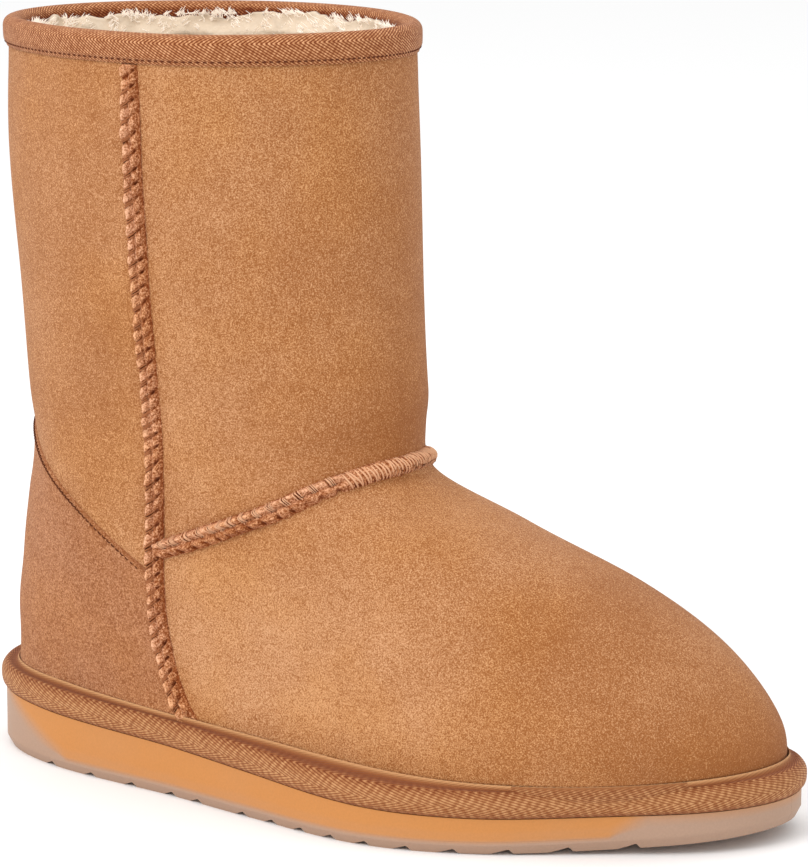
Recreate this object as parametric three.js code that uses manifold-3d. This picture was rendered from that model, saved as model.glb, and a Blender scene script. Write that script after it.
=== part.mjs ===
// A short sheepskin boot for the right foot, in millimetres: +X to the toe, +Y to the inner side, +Z up.
// The upper is a tube of levels that pass from the footprint to the collar, and what lies on it or in it is
// worked out from the same function. The sole is worked out from one outline and two height curves.
import * as THREE from "three";
import { mergeVertices } from "three/addons/utils/BufferGeometryUtils.js";
import Module from "manifold-3d";

const wasm = await Module();
wasm.setup();

// Main sizes of the last and the shaft
const soleLength = 280;
const ballWidth = 98;
const toeSwing = 30; // how far the toe lies to the inner side of the heel
const instepHeight = 107; // from the floor to the throat, where the shaft meets the vamp
const bootHeight = 245.5; // from the floor to the cut edge of the upper
const shaftDepth = 146;
const shaftWidth = 105;
const upperWall = 3;
const clearance = 0.3; // between pieces that touch

// Sole thicknesses, with the toe spring under them
const heelThickness = 20.3;
const archThickness = 16.2;
const archAt = 0.39; // of soleLength
const ballThickness = 11.8;
const ballAt = 0.71; // of soleLength
const toeThickness = 8.6;
const toeSpring = 5.6;
const springLength = 90;
const treadThickness = 4.2;
const cupWall = 4;
const edgeBevel = 1.6;
const bevelHeight = 3;

// Grooves across the tread
const grooveDepth = 1.7;
const grooveLength = 5.5;
const grooveRadius = 190;

// Binding around the joint of sole and upper
const ledge = 4.8;
const bindingBulge = 1.6;
const bindingHeight = 9.2;

// Tape over the collar's edge
const tapeThickness = 1;
const tapeOutside = 7.6;
const tapeInside = 7;
const tapeCrown = 0.6; // the extra rise of the fold over the edge

// Pieces on the upper and in it
const seamWidth = 6.4;
const seamRise = 2.2;
const counterThickness = 1;
const insoleThickness = 3;

const colours = {
  suede: 0xb9804c,
  counter: 0xa8683c,
  seam: 0xbf8757,
  tape: 0xa97040,
  midsole: 0xe09a4e,
  rubber: 0xb59a8b,
  insole: 0xe8dcc6,
};

// Outline of the sole: half-widths on each side of its centre line, as shares of ballWidth, at shares of
// its length, and the radii of its ends.
const soleEnds = { heelRadius: 0.33, toeRadius: 0.295 };
const soleHalves = [
  { at: 0.12, outer: 0.371, inner: 0.351 },
  { at: 0.3, outer: 0.448, inner: 0.337 },
  { at: 0.45, outer: 0.53, inner: 0.327 },
  { at: 0.62, outer: 0.614, inner: 0.367 },
  { at: 0.74, outer: 0.55, inner: 0.392 },
  { at: 0.88, outer: 0.365, inner: 0.349 },
];

// Levels of the foot. Heights are shares of instepHeight, lengths of soleLength, the swing of toeSwing, and
// the half-widths and end radii of ballWidth. The half-widths stand at the shares of the length in levelAt.
const levelAt = [0.15, 0.45, 0.72];
const footLevels = [
  {
    heelZ: 0.309, toeZ: 0.313, heelX: 0.028, toeX: 0.977, swing: 0.88, heelR: 0.336, toeR: 0.386,
    outer: [0.357, 0.465, 0.515], inner: [0.335, 0.306, 0.382],
  },
  {
    heelZ: 0.475, toeZ: 0.513, heelX: 0.03, toeX: 0.919, swing: 0.777, heelR: 0.346, toeR: 0.347,
    outer: [0.365, 0.442, 0.48], inner: [0.352, 0.337, 0.388],
  },
  {
    heelZ: 0.655, toeZ: 0.686, heelX: 0.038, toeX: 0.826, swing: 0.523, heelR: 0.346, toeR: 0.312,
    outer: [0.366, 0.423, 0.429], inner: [0.362, 0.367, 0.378],
  },
  {
    heelZ: 0.836, toeZ: 0.836, heelX: 0.048, toeX: 0.7, swing: 0.2, heelR: 0.346, toeR: 0.294,
    outer: [0.367, 0.408, 0.388], inner: [0.367, 0.398, 0.375],
  },
];

// Levels of the shaft. Heights are shares of the way from instepHeight to bootHeight, lengths of shaftDepth
// behind shaftFront, and the half-widths and end radii of shaftWidth.
const shaftFront = 0.554; // of soleLength
const shaftLevels = [
  {
    heelZ: 0.002, toeZ: -0.014, heelX: 0.053, toeX: 1.039, heelR: 0.323, toeR: 0.287,
    outer: [0.343, 0.391, 0.352], inner: [0.343, 0.391, 0.352],
  },
  {
    heelZ: 0.131, toeZ: 0.18, heelX: 0.033, toeX: 1.012, heelR: 0.323, toeR: 0.316,
    outer: [0.343, 0.41, 0.362], inner: [0.343, 0.41, 0.362],
  },
  {
    heelZ: 0.383, toeZ: 0.399, heelX: 0.016, toeX: 0.997, heelR: 0.342, toeR: 0.329,
    outer: [0.35, 0.448, 0.4], inner: [0.352, 0.448, 0.4],
  },
  {
    heelZ: 0.714, toeZ: 0.726, heelX: -0.01, toeX: 0.989, heelR: 0.362, toeR: 0.336,
    outer: [0.355, 0.481, 0.438], inner: [0.361, 0.489, 0.438],
  },
  {
    heelZ: 0.993, toeZ: 1.008, heelX: -0.008, toeX: 0.976, heelR: 0.385, toeR: 0.327,
    outer: [0.344, 0.489, 0.466], inner: [0.359, 0.521, 0.462],
  },
];

// A smooth curve through the points (xs, ys), read at x.
function through(xs, ys, x) {
  const last = xs.length - 1;
  const slope = (i) => {
    const [a, b] = [Math.max(i - 1, 0), Math.min(i + 1, last)];
    return (ys[b] - ys[a]) / (xs[b] - xs[a]);
  };
  let i = 0;
  while (i < last - 1 && x >= xs[i + 1]) i++;
  const h = xs[i + 1] - xs[i];
  const u = (x - xs[i]) / h;
  const [u2, u3] = [u * u, u * u * u];
  return (
    (2 * u3 - 3 * u2 + 1) * ys[i] +
    (u3 - 2 * u2 + u) * h * slope(i) +
    (3 * u2 - 2 * u3) * ys[i + 1] +
    (u3 - u2) * h * slope(i + 1)
  );
}

// The centre line's swing rises with this power of s, the share of the length.
const swingBend = 2.5;

// A round-ended outline has this share of its fullest width at share s of its length.
const roundness = (s) => 2 * Math.sqrt(Math.max(s * (1 - s), 0));

// An outline in plan: a centre line that swings to the inner side and a half-width on each side of it.
class Outline {
  constructor({ heelX, toeX, swing, heelR, toeR, at, outer, inner }) {
    Object.assign(this, { heelX, swing, length: toeX - heelX, stations: [0, ...at, 1] });
    const heel = Math.sqrt((heelR * this.length) / 2);
    const toe = Math.sqrt((toeR * this.length) / 2);
    const fullness = (halves) => [heel, ...halves.map((w, i) => w / roundness(at[i])), toe];
    this.outer = fullness(outer);
    this.inner = fullness(inner);
  }
  halfWidth(side, s) {
    return through(this.stations, side, s) * roundness(s);
  }
  // The point at angle turn: 0 at the toe, a quarter turn on the inner side, half a turn at the heel.
  point(turn) {
    const s = (1 + Math.cos(turn)) / 2;
    const side = Math.sin(turn) < 0 ? this.outer : this.inner;
    const y = this.swing * s ** swingBend + through(this.stations, side, s) * Math.sin(turn);
    return new THREE.Vector3(this.heelX + this.length * s, y, 0);
  }
  // The same point moved outwards in plan.
  grown(turn, distance) {
    const step = 1e-3;
    const along = this.point(turn + step).sub(this.point(turn - step)).normalize();
    return this.point(turn).add(new THREE.Vector3(along.y, -along.x, 0).multiplyScalar(distance));
  }
}

const soleOutline = new Outline({
  heelX: 0,
  toeX: soleLength,
  swing: toeSwing,
  heelR: soleEnds.heelRadius * ballWidth,
  toeR: soleEnds.toeRadius * ballWidth,
  at: soleHalves.map((row) => row.at),
  outer: soleHalves.map((row) => row.outer * ballWidth),
  inner: soleHalves.map((row) => row.inner * ballWidth),
});

// Height of the sole's underside over the floor, of its tread layer and of its top, at a length x.
function soleBottom(x) {
  const run = Math.max(x - (soleLength - springLength), 0) / springLength;
  return toeSpring * run * run;
}
const treadTop = (x) => soleBottom(x) + treadThickness;
function soleTop(x) {
  const stations = [0, archAt, ballAt, 1].map((share) => share * soleLength);
  return through(stations, [heelThickness, archThickness, ballThickness, toeThickness + toeSpring], x);
}

// The levels of the upper in millimetres, from the line where it meets the sole to the cut edge at the collar
const footprint = {
  heelZ: soleTop(0) + clearance,
  toeZ: soleTop(soleLength) + clearance,
  heelX: ledge,
  toeX: soleLength - ledge,
  swing: toeSwing,
  heelR: soleEnds.heelRadius * ballWidth - ledge,
  toeR: soleEnds.toeRadius * ballWidth - ledge,
  outer: levelAt.map((s) => soleOutline.halfWidth(soleOutline.outer, s) - ledge),
  inner: levelAt.map((s) => soleOutline.halfWidth(soleOutline.inner, s) - ledge),
};
const scaled = (list, size) => list.map((share) => share * size);
const levels = [
  footprint,
  ...footLevels.map((row) => ({
    heelZ: row.heelZ * instepHeight,
    toeZ: row.toeZ * instepHeight,
    heelX: row.heelX * soleLength,
    toeX: row.toeX * soleLength,
    swing: row.swing * toeSwing,
    heelR: row.heelR * ballWidth,
    toeR: row.toeR * ballWidth,
    outer: scaled(row.outer, ballWidth),
    inner: scaled(row.inner, ballWidth),
  })),
  ...shaftLevels.map((row) => ({
    heelZ: instepHeight + row.heelZ * (bootHeight - instepHeight),
    toeZ: instepHeight + row.toeZ * (bootHeight - instepHeight),
    heelX: shaftFront * soleLength - (1 - row.heelX) * shaftDepth,
    toeX: shaftFront * soleLength - (1 - row.toeX) * shaftDepth,
    swing: 0,
    heelR: row.heelR * shaftWidth,
    toeR: row.toeR * shaftWidth,
    outer: scaled(row.outer, shaftWidth),
    inner: scaled(row.inner, shaftWidth),
  })),
];
const topLevel = levels.length - 1;

// The level at a place between two rows, with its outline.
const levelCache = new Map();
function levelAtRow(t) {
  if (!levelCache.has(t)) {
    const rows = levels.map((_, i) => i);
    const read = (column) => through(rows, levels.map(column), t);
    const sides = (side) => levelAt.map((_, i) => read((row) => row[side][i]));
    const outline = new Outline({
      heelX: read((row) => row.heelX),
      toeX: read((row) => row.toeX),
      swing: read((row) => row.swing),
      heelR: read((row) => row.heelR),
      toeR: read((row) => row.toeR),
      at: levelAt,
      outer: sides("outer"),
      inner: sides("inner"),
    });
    levelCache.set(t, { outline, heelZ: read((row) => row.heelZ), toeZ: read((row) => row.toeZ) });
  }
  return levelCache.get(t);
}

// The upper's outer surface at level t and angle turn. The lowest level lies on the sole, which isn't flat.
function upperPoint(t, turn) {
  const { outline, heelZ, toeZ } = levelAtRow(t);
  const point = outline.point(turn);
  const s = (1 + Math.cos(turn)) / 2;
  const chord = footprint.heelZ + (footprint.toeZ - footprint.heelZ) * s;
  const sag = soleTop(point.x) + clearance - chord;
  point.z = heelZ + (toeZ - heelZ) * s + sag * Math.max(1 - t, 0);
  return point;
}

function upperNormal(t, turn) {
  const step = 1e-2;
  const around = upperPoint(t, turn + step).sub(upperPoint(t, turn - step));
  const up = upperPoint(Math.min(t + step, topLevel), turn).sub(upperPoint(Math.max(t - step, 0), turn));
  return around.cross(up).normalize();
}

// A point off the upper's surface, outwards when distance is positive.
const offUpper = (t, turn, distance) =>
  upperPoint(t, turn).add(upperNormal(t, turn).multiplyScalar(distance));

// The level whose mean height is z, found by halving.
const halvings = 30;
function levelAtHeight(z) {
  let [low, high] = [0, topLevel];
  for (let i = 0; i < halvings; i++) {
    const middle = (low + high) / 2;
    const { heelZ, toeZ } = levelAtRow(middle);
    if ((heelZ + toeZ) / 2 < z) low = middle;
    else high = middle;
  }
  return (low + high) / 2;
}

// A body from loops of points that follow one another, each counter-clockwise seen from the next loop's side.
// A closed body joins its last loop to its first. An open one is capped at both ends.
function loft(loops, closed = false) {
  const n = loops[0].length;
  const index = [];
  const at = (loop, k) => (loop % loops.length) * n + (k % n);
  for (let loop = 0; loop < loops.length - (closed ? 0 : 1); loop++) {
    for (let k = 0; k < n; k++) {
      const [a, b, c, d] = [at(loop, k), at(loop, k + 1), at(loop + 1, k + 1), at(loop + 1, k)];
      index.push(a, b, c, a, c, d);
    }
  }
  const cap = (loop, facing) => {
    for (let k = 0; k < Math.floor(n / 2); k++) {
      const [a, b, c, d] = [at(loop, k), at(loop, k + 1), at(loop, n - k - 1), at(loop, n - k)];
      if (b !== c) index.push(...(facing ? [a, b, c] : [a, c, b]));
      if (d !== a) index.push(...(facing ? [a, c, d] : [a, d, c]));
    }
  };
  if (!closed) {
    cap(0, false);
    cap(loops.length - 1, true);
  }
  const geometry = new THREE.BufferGeometry().setFromPoints(loops.flat());
  geometry.setIndex(index);
  return solidOf(geometry);
}

// A three.js geometry as a manifold solid, and back.
function solidOf(geometry) {
  const bare = geometry.clone();
  bare.deleteAttribute("normal");
  bare.deleteAttribute("uv");
  const merged = mergeVertices(bare, 1e-4);
  return new wasm.Manifold(
    new wasm.Mesh({
      numProp: 3,
      vertProperties: merged.attributes.position.array,
      triVerts: new Uint32Array(merged.index.array),
    }),
  );
}
function geometryOf(solid) {
  const { vertProperties, triVerts } = solid.getMesh();
  const geometry = new THREE.BufferGeometry();
  geometry.setAttribute("position", new THREE.BufferAttribute(vertProperties, 3));
  geometry.setIndex(new THREE.BufferAttribute(triVerts, 1));
  geometry.computeVertexNormals();
  return geometry;
}

const stepsAlong = (count, from, to) =>
  Array.from({ length: count + 1 }, (_, i) => from + ((to - from) * i) / count);
const sidesAround = 40;
const turns = stepsAlong(sidesAround, 0, 2 * Math.PI).slice(0, -1);

// Loops stand closer on the foot and at the throat than on the shaft.
const throatLevel = footLevels.length + 1;
const heights = [
  ...stepsAlong(throatLevel * 3, 0, throatLevel),
  ...stepsAlong((topLevel - throatLevel) * 2, throatLevel, topLevel).slice(1),
];

// The solid inside the upper's surface moved by distance, run on past both ends by reach.
function form(distance, reach = 0) {
  const loops = heights.map((t) => turns.map((turn) => offUpper(t, turn, distance)));
  const shifted = (loop, z) => loop.map((p) => p.clone().setZ(p.z + z));
  if (reach > 0) {
    loops.unshift(shifted(loops[0], -reach));
    loops.push(shifted(loops.at(-1), reach));
  }
  return loft(loops);
}

// A loop of the sole's outline moved by distance, at the height that z gives for each length.
const soleLoop = (distance, z) =>
  turns.map((turn) => {
    const point = soleOutline.grown(turn, distance);
    return point.setZ(z(point.x));
  });

function makeUpper() {
  const past = 2 * upperWall;
  return form(0).subtract(form(-upperWall, past));
}

// Sole: the rubber outsole has a tread layer and a cup at each end, and the foam midsole shows between them.
const soleBody = loft([
  soleLoop(-edgeBevel, soleBottom),
  soleLoop(0, (x) => soleBottom(x) + bevelHeight),
  soleLoop(0, soleTop),
]);

// Side view of the midsole's window between the cups: its slanted ends, as shares of soleLength.
const windowRear = { top: 0.05, bottom: 0.168 };
const windowFront = { top: 0.9, bottom: 0.865 };

// The room of the midsole, larger by gap on every side but its top, which is cut by the sole's own top.
function midsoleRoom(gap) {
  const over = 2 * heelThickness;
  const core = loft([
    soleLoop(gap - cupWall, (x) => treadTop(x) - gap),
    soleLoop(gap - cupWall, () => over),
  ]);
  const [rearLow, frontLow] = [windowRear.bottom * soleLength, windowFront.bottom * soleLength];
  const slant = (end, z, low) => {
    const rise = (z - treadThickness) / (soleTop(end.top * soleLength) - treadThickness);
    return low + (end.top - end.bottom) * soleLength * rise;
  };
  const edge = stepsAlong(12, rearLow, frontLow);
  const side = new THREE.Shape([
    new THREE.Vector2(slant(windowRear, over, rearLow) - gap, over),
    new THREE.Vector2(rearLow - gap, treadTop(rearLow) - gap),
    ...edge.slice(1, -1).map((x) => new THREE.Vector2(x, treadTop(x) - gap)),
    new THREE.Vector2(frontLow + gap, treadTop(frontLow) - gap),
    new THREE.Vector2(slant(windowFront, over, frontLow) + gap, over),
  ]);
  const across = new THREE.ExtrudeGeometry(side, { depth: 4 * ballWidth, bevelEnabled: false });
  across.rotateX(Math.PI / 2).translate(0, 2 * ballWidth, 0);
  return core.add(solidOf(across));
}

// Grooves across the tread: each has a steep front wall and a long ramp behind it, and bows to the toe. They
// are set closer under the ball than under the heel. The shares of soleLength are where they meet the outer
// edge.
const grooves = [
  ...[0.136, 0.205, 0.27, 0.332, 0.375],
  ...[0.449, 0.495, 0.54, 0.584, 0.628, 0.673, 0.718, 0.766, 0.815, 0.872],
];
function makeGroove(share) {
  const front = share * soleLength + grooveRadius - Math.sqrt(grooveRadius ** 2 - (ballWidth / 2) ** 2);
  const reach = Math.asin(ballWidth / grooveRadius);
  const steps = 7;
  const loops = Array.from({ length: steps + 1 }, (_, i) => {
    const swing = reach * ((2 * i) / steps - 1);
    const at = (back, z) => {
      const x = front - grooveRadius + (grooveRadius - back) * Math.cos(swing);
      return new THREE.Vector3(x, (grooveRadius - back) * Math.sin(swing), z + soleBottom(x));
    };
    const under = -toeSpring - grooveDepth;
    const steep = at(grooveDepth / 3, grooveDepth);
    return [at(0, under), steep, at(grooveLength, 0), at(grooveLength, under)].reverse();
  });
  return loft(loops);
}

function makeOutsole() {
  let outsole = soleBody.subtract(midsoleRoom(clearance));
  for (const share of grooves) outsole = outsole.subtract(makeGroove(share));
  return outsole;
}
const makeMidsole = () => soleBody.intersect(midsoleRoom(0));

function makeInsole() {
  const lift = (extra) => (x) => soleTop(x) + clearance + extra;
  const plate = loft([soleLoop(0, lift(0)), soleLoop(0, lift(insoleThickness))]);
  return plate.intersect(form(-upperWall - clearance, 2 * insoleThickness));
}

// The binding is a rounded band on the sole's edge. It closes on the upper, which cuts its inner side.
// Section: in is a share of the ledge inwards from the edge, out of the bulge outwards, up of bindingHeight.
const bindingShoulder = [
  { in: 0.8, up: 1 },
  { in: 0.25, up: 0.93 },
];
const bindingSide = [
  { out: 0.7, up: 0.68 },
  { out: 1, up: 0.4 },
  { out: 0.7, up: 0.12 },
];
function bindingBand(gap) {
  const deep = ledge + 2 * upperWall;
  const section = [
    { out: -deep, up: bindingHeight + gap },
    ...bindingShoulder.map((row) => ({ out: -row.in * ledge, up: row.up * bindingHeight + gap })),
    ...bindingSide.map((row) => ({ out: row.out * bindingBulge + gap, up: row.up * bindingHeight })),
    { out: 0, up: clearance - gap },
    { out: -deep, up: clearance - gap },
  ];
  const loops = turns.map((turn) =>
    section.map(({ out, up }) => {
      const edge = soleOutline.point(turn);
      return soleOutline.grown(turn, out).setZ(soleTop(edge.x) + up);
    }),
  );
  return loft(loops, true);
}
const makeBinding = () => bindingBand(0).subtract(form(clearance, bindingHeight));

// The tape is folded over the cut edge of the upper, with a longer leg outside than inside. The fold's
// roundness ends at foldEnd, and the outer leg is fullest down to legFull, as shares of tapeOutside.
const foldEnd = 0.15;
const legFull = 0.5;
function makeCollarTape() {
  const [near, far] = [clearance, clearance + tapeThickness];
  const topOf = (turn) => upperPoint(topLevel, turn);
  const rims = turns.map((turn) => {
    const down = (drop) => levelAtHeight(bootHeight - drop);
    const along = (distance, drop) => offUpper(down(drop), turn, distance);
    const over = (distance, rise) => {
      const flat = upperNormal(topLevel, turn).setZ(0).normalize();
      return topOf(turn).add(flat.multiplyScalar(distance)).add(new THREE.Vector3(0, 0, rise));
    };
    return [
      over(-upperWall / 2, far + tapeCrown),
      over(near, far),
      along(far + tapeCrown, tapeOutside * foldEnd),
      along(far + tapeCrown, tapeOutside * legFull),
      along(far, tapeOutside),
      along(near, tapeOutside),
      over(near, near),
      over(-upperWall - near, near),
      along(-upperWall - near, tapeInside),
      along(-upperWall - far, tapeInside),
      along(-upperWall - far, tapeOutside * foldEnd),
      over(-upperWall - near, far),
    ];
  });
  return loft(rims, true);
}

// Routes of the seams on the upper. The side seams stand at these shares of soleLength, one for each level.
const sideSeam = [0.385, 0.338, 0.3135, 0.3058, 0.3052, 0.3085, 0.3095, 0.3092, 0.3088, 0.3115];
function sideTurn(t) {
  const x = through(levels.map((_, i) => i), sideSeam, t) * soleLength;
  const { outline } = levelAtRow(t);
  return Math.acos((2 * (x - outline.heelX)) / outline.length - 1);
}

// The vamp seam runs from one side seam over the instep to the other.
const vampSeam = [
  { share: 0, level: 5.25 },
  { share: 0.25, level: 5.185 },
  { share: 0.5, level: 4.905 },
  { share: 0.75, level: 4.31 },
  { share: 1, level: 3.46 },
];
function vampLevel(share) {
  const [shares, levelsThere] = [vampSeam.map((row) => row.share), vampSeam.map((row) => row.level)];
  return through(shares, levelsThere, Math.abs(share));
}

// A domed ridge along a route of { t, turn } places, sunk into the upper, to be cut by it.
function ridge(route, width, rise) {
  const sink = 2 * clearance + seamRise / 2;
  const places = route.map(({ t, turn }) => upperPoint(t, turn));
  const domeSteps = 5;
  const loops = route.map(({ t, turn }, i) => {
    const out = upperNormal(t, turn);
    const [before, after] = [places[Math.max(i - 1, 0)], places[Math.min(i + 1, places.length - 1)]];
    const along = after.clone().sub(before).normalize();
    const across = new THREE.Vector3().crossVectors(out, along).normalize();
    const put = (a, b) => places[i].clone().addScaledVector(across, a).addScaledVector(out, b);
    const dome = Array.from({ length: domeSteps + 1 }, (_, k) => {
      const swing = (Math.PI * k) / domeSteps;
      return put((width / 2) * Math.cos(swing), clearance + rise * Math.sin(swing));
    });
    return [...dome, put(-width / 2, -sink), put(width / 2, -sink)];
  });
  return loft(loops);
}

const sideRoute = (hand) => {
  const top = levelAtHeight(bootHeight - tapeOutside - clearance);
  return stepsAlong(22, underBinding, top).map((t) => ({ t, turn: hand * sideTurn(t) }));
};

// The room that a side seam takes, with the clearance that its neighbours keep from it.
const seamRoom = (hand) => ridge(sideRoute(hand), seamWidth + 2 * clearance, 2 * seamRise);

function makeSideSeam(hand) {
  return ridge(sideRoute(hand), seamWidth, seamRise)
    .subtract(form(clearance))
    .subtract(bindingBand(clearance));
}

function makeVampSeam() {
  const route = stepsAlong(24, -1, 1).map((share) => {
    const t = vampLevel(share);
    return { t, turn: share * sideTurn(t) };
  });
  return ridge(route, seamWidth, seamRise)
    .subtract(form(clearance))
    .subtract(seamRoom(-1))
    .subtract(seamRoom(1));
}

// The heel counter lies on the upper between the side seams. Its top edge climbs to the back of the heel.
const counterLevels = { side: 3, back: 5.6 };
const underBinding = 0.4; // level where the counter and the side seams start, behind the binding
function makeCounter() {
  const across = stepsAlong(14, -1, 1);
  const up = stepsAlong(8, 0, 1);
  const region = across.map((a) => {
    const climb = Math.cos((Math.PI / 2) * a);
    const top = counterLevels.side + (counterLevels.back - counterLevels.side) * climb;
    const strip = (distance) =>
      up.map((b) => {
        const t = underBinding + b * (top - underBinding);
        return offUpper(t, Math.PI + a * (Math.PI - sideTurn(t)), distance);
      });
    return [...strip(3 * counterThickness).reverse(), ...strip(-counterThickness)];
  });
  return loft(region)
    .intersect(form(clearance + counterThickness).subtract(form(clearance)))
    .subtract(bindingBand(clearance))
    .subtract(seamRoom(-1))
    .subtract(seamRoom(1));
}

const finish = (color, roughness) => new THREE.MeshStandardMaterial({ color, roughness, metalness: 0 });
const boot = new THREE.Group();
boot.name = "sheepskin_boot";
function addPiece(name, solid, material) {
  const mesh = new THREE.Mesh(geometryOf(solid), material);
  mesh.name = name;
  boot.add(mesh);
}

addPiece("outsole", makeOutsole(), finish(colours.rubber, 0.6));
addPiece("midsole", makeMidsole(), finish(colours.midsole, 0.7));
addPiece("insole", makeInsole(), finish(colours.insole, 0.95));
addPiece("sole_binding", makeBinding(), finish(colours.tape, 0.85));
addPiece("upper", makeUpper(), finish(colours.suede, 0.95));
addPiece("heel_counter", makeCounter(), finish(colours.counter, 0.95));
addPiece("seam_outer", makeSideSeam(-1), finish(colours.seam, 0.9));
addPiece("seam_inner", makeSideSeam(1), finish(colours.seam, 0.9));
addPiece("seam_vamp", makeVampSeam(), finish(colours.seam, 0.9));
addPiece("collar_binding", makeCollarTape(), finish(colours.tape, 0.85));

// The origin is the middle of the boot's own box, on the floor.
const box = new THREE.Box3().setFromObject(boot);
const middle = box.getCenter(new THREE.Vector3());
boot.position.set(-middle.x, -middle.y, -box.min.z);

export default boot;
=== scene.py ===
"""A short sheepskin boot for the right foot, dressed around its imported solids.

Sizes are in millimetres in the boot's own frame: the heel's end is at x = 0, +X runs to the toe, +Y to the inner
side, and the floor is z = 0. Meshes are in metres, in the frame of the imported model.
"""

import logging
import math
from dataclasses import dataclass, field
from enum import Enum
from typing import Callable, Sequence

import bpy
import numpy as np
from mathutils import Matrix, Vector


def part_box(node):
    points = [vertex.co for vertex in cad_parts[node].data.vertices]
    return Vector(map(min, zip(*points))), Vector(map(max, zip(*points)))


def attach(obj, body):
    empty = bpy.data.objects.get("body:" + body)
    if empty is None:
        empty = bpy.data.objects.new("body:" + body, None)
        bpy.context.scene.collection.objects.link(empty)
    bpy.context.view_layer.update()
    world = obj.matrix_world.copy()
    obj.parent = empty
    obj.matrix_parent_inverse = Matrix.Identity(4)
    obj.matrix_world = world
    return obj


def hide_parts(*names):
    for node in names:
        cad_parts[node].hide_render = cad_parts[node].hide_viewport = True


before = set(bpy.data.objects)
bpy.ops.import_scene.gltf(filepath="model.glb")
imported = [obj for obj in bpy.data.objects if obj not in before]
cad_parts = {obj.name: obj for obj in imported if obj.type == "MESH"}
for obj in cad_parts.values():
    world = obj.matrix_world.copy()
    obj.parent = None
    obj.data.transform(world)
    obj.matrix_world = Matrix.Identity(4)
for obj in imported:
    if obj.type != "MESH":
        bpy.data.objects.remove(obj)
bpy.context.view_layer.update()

Array = np.ndarray
Socket = bpy.types.NodeSocket
Triple = tuple[float, float, float]
log = logging.getLogger("boot")

MM = 0.001
BODY = "root"
HALVINGS = 26
SCREEN_POWER = 2.2
UP = (0.0, 0.0, 1.0)


# Curves and fields


def through(stations: Sequence[float], values: Sequence[Array], x: Array) -> Array:
    """Reads a smooth curve through points.

    Between two stations the curve is the cubic that meets both values, with the slope at each station equal to that
    of the straight line between its neighbours.

    Args:
        stations: Places of the points, rising.
        values: The value at each station, a number or an array that broadcasts with x.
        x: Where the curve is read.

    Returns:
        The curve's value at each x.
    """
    last = len(stations) - 1

    def slope(i: int) -> Array:
        """The slope of the chord between a station's neighbours."""
        low, high = max(i - 1, 0), min(i + 1, last)
        return (np.asarray(values[high]) - np.asarray(values[low])) / (stations[high] - stations[low])

    result = None
    for i in range(last):
        run = stations[i + 1] - stations[i]
        u = (x - stations[i]) / run
        piece = (
            (2 * u**3 - 3 * u**2 + 1) * values[i]
            + (u**3 - 2 * u**2 + u) * run * slope(i)
            + (3 * u**2 - 2 * u**3) * values[i + 1]
            + (u**3 - u**2) * run * slope(i + 1)
        )
        result = piece if result is None else np.where(x >= stations[i], piece, result)
    return result


def bell(x: Array, middle: float, width: float) -> Array:
    """A bell curve that is 1 at the middle and falls to 0.37 at one width from it."""
    return np.exp(-(((x - middle) / width) ** 2))


def ease(x: Array, low: float, high: float) -> Array:
    """Rises smoothly from 0 at low to 1 at high, as 3u^2 - 2u^3."""
    u = np.clip((x - low) / (high - low), 0, 1)
    return u * u * (3 - 2 * u)


def waves(points: Array, size: float, seed: int, count: int = 14) -> Array:
    """A smooth field without a repeat: the mean of cosines along random directions, scaled to about -1 to 1.

    Args:
        points: Places, the last axis holding x, y and z.
        size: About the width of one bump, in the unit of the points.
        seed: Fixes the directions and phases.
        count: How many cosines there are.

    Returns:
        The field's value at each place.
    """
    rng = np.random.default_rng(seed)
    directions = rng.normal(size=(count, 3))
    directions /= np.linalg.norm(directions, axis=1, keepdims=True)
    pitch = math.pi / size * rng.uniform(0.6, 1.5, count)
    phases = rng.uniform(0, 2 * math.pi, count)
    total = np.zeros(points.shape[:-1])
    for direction, k, phase in zip(directions, pitch, phases):
        total += np.cos(points @ direction * k + phase)
    return total / math.sqrt(count)


def unit(vectors: Array) -> Array:
    """Vectors of length 1 along the last axis."""
    return vectors / np.maximum(np.linalg.norm(vectors, axis=-1, keepdims=True), 1e-12)


def from_toe(turn: Array) -> Array:
    """The angle from the toe, up to half a turn: positive on the inner side and negative on the outer."""
    return (turn + math.pi) % (2 * math.pi) - math.pi


def even_turns(count: int) -> Array:
    """Angles spaced evenly around a full turn, from 0."""
    return np.linspace(0, 2 * math.pi, count, endpoint=False)


def so_far(steps: Array) -> Array:
    """The length up to each point of a line: the running sum of its steps, from 0."""
    return np.concatenate([[0], np.cumsum(steps)])


def bridge(first: Array, second: Array, count: int) -> Array:
    """Columns of points evenly between the last column of one wall and the first column of the next."""
    return first[:, -1:] + (second[:, :1] - first[:, -1:]) * np.linspace(0, 1, count)[None, 1:-1, None]


def halved(under: Callable[[Array], Array], low: Array, high: Array) -> Array:
    """Finds by halving the place where a test stops being true.

    Args:
        under: The test, true below the place and false above it.
        low: The low end of the range, for each place that is looked for.
        high: The high end.

    Returns:
        The places.
    """
    for _ in range(HALVINGS):
        middle = (low + high) / 2
        below = under(middle)
        low, high = np.where(below, middle, low), np.where(below, high, middle)
    return (low + high) / 2


# Sizes of the last and the shaft


@dataclass(frozen=True)
class Sizes:
    """The boot's named sizes, in millimetres, as its solids have them."""

    sole_length: float = 280
    ball_width: float = 98
    toe_swing: float = 30
    instep_height: float = 107
    boot_height: float = 245.5
    shaft_depth: float = 146
    shaft_width: float = 105
    shaft_front: float = 0.554
    wall: float = 3
    clearance: float = 0.3
    ledge: float = 4.8

    @property
    def lining(self) -> float:
        """How far the lining lies inside the upper's outer side."""
        return self.wall + self.clearance


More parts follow.
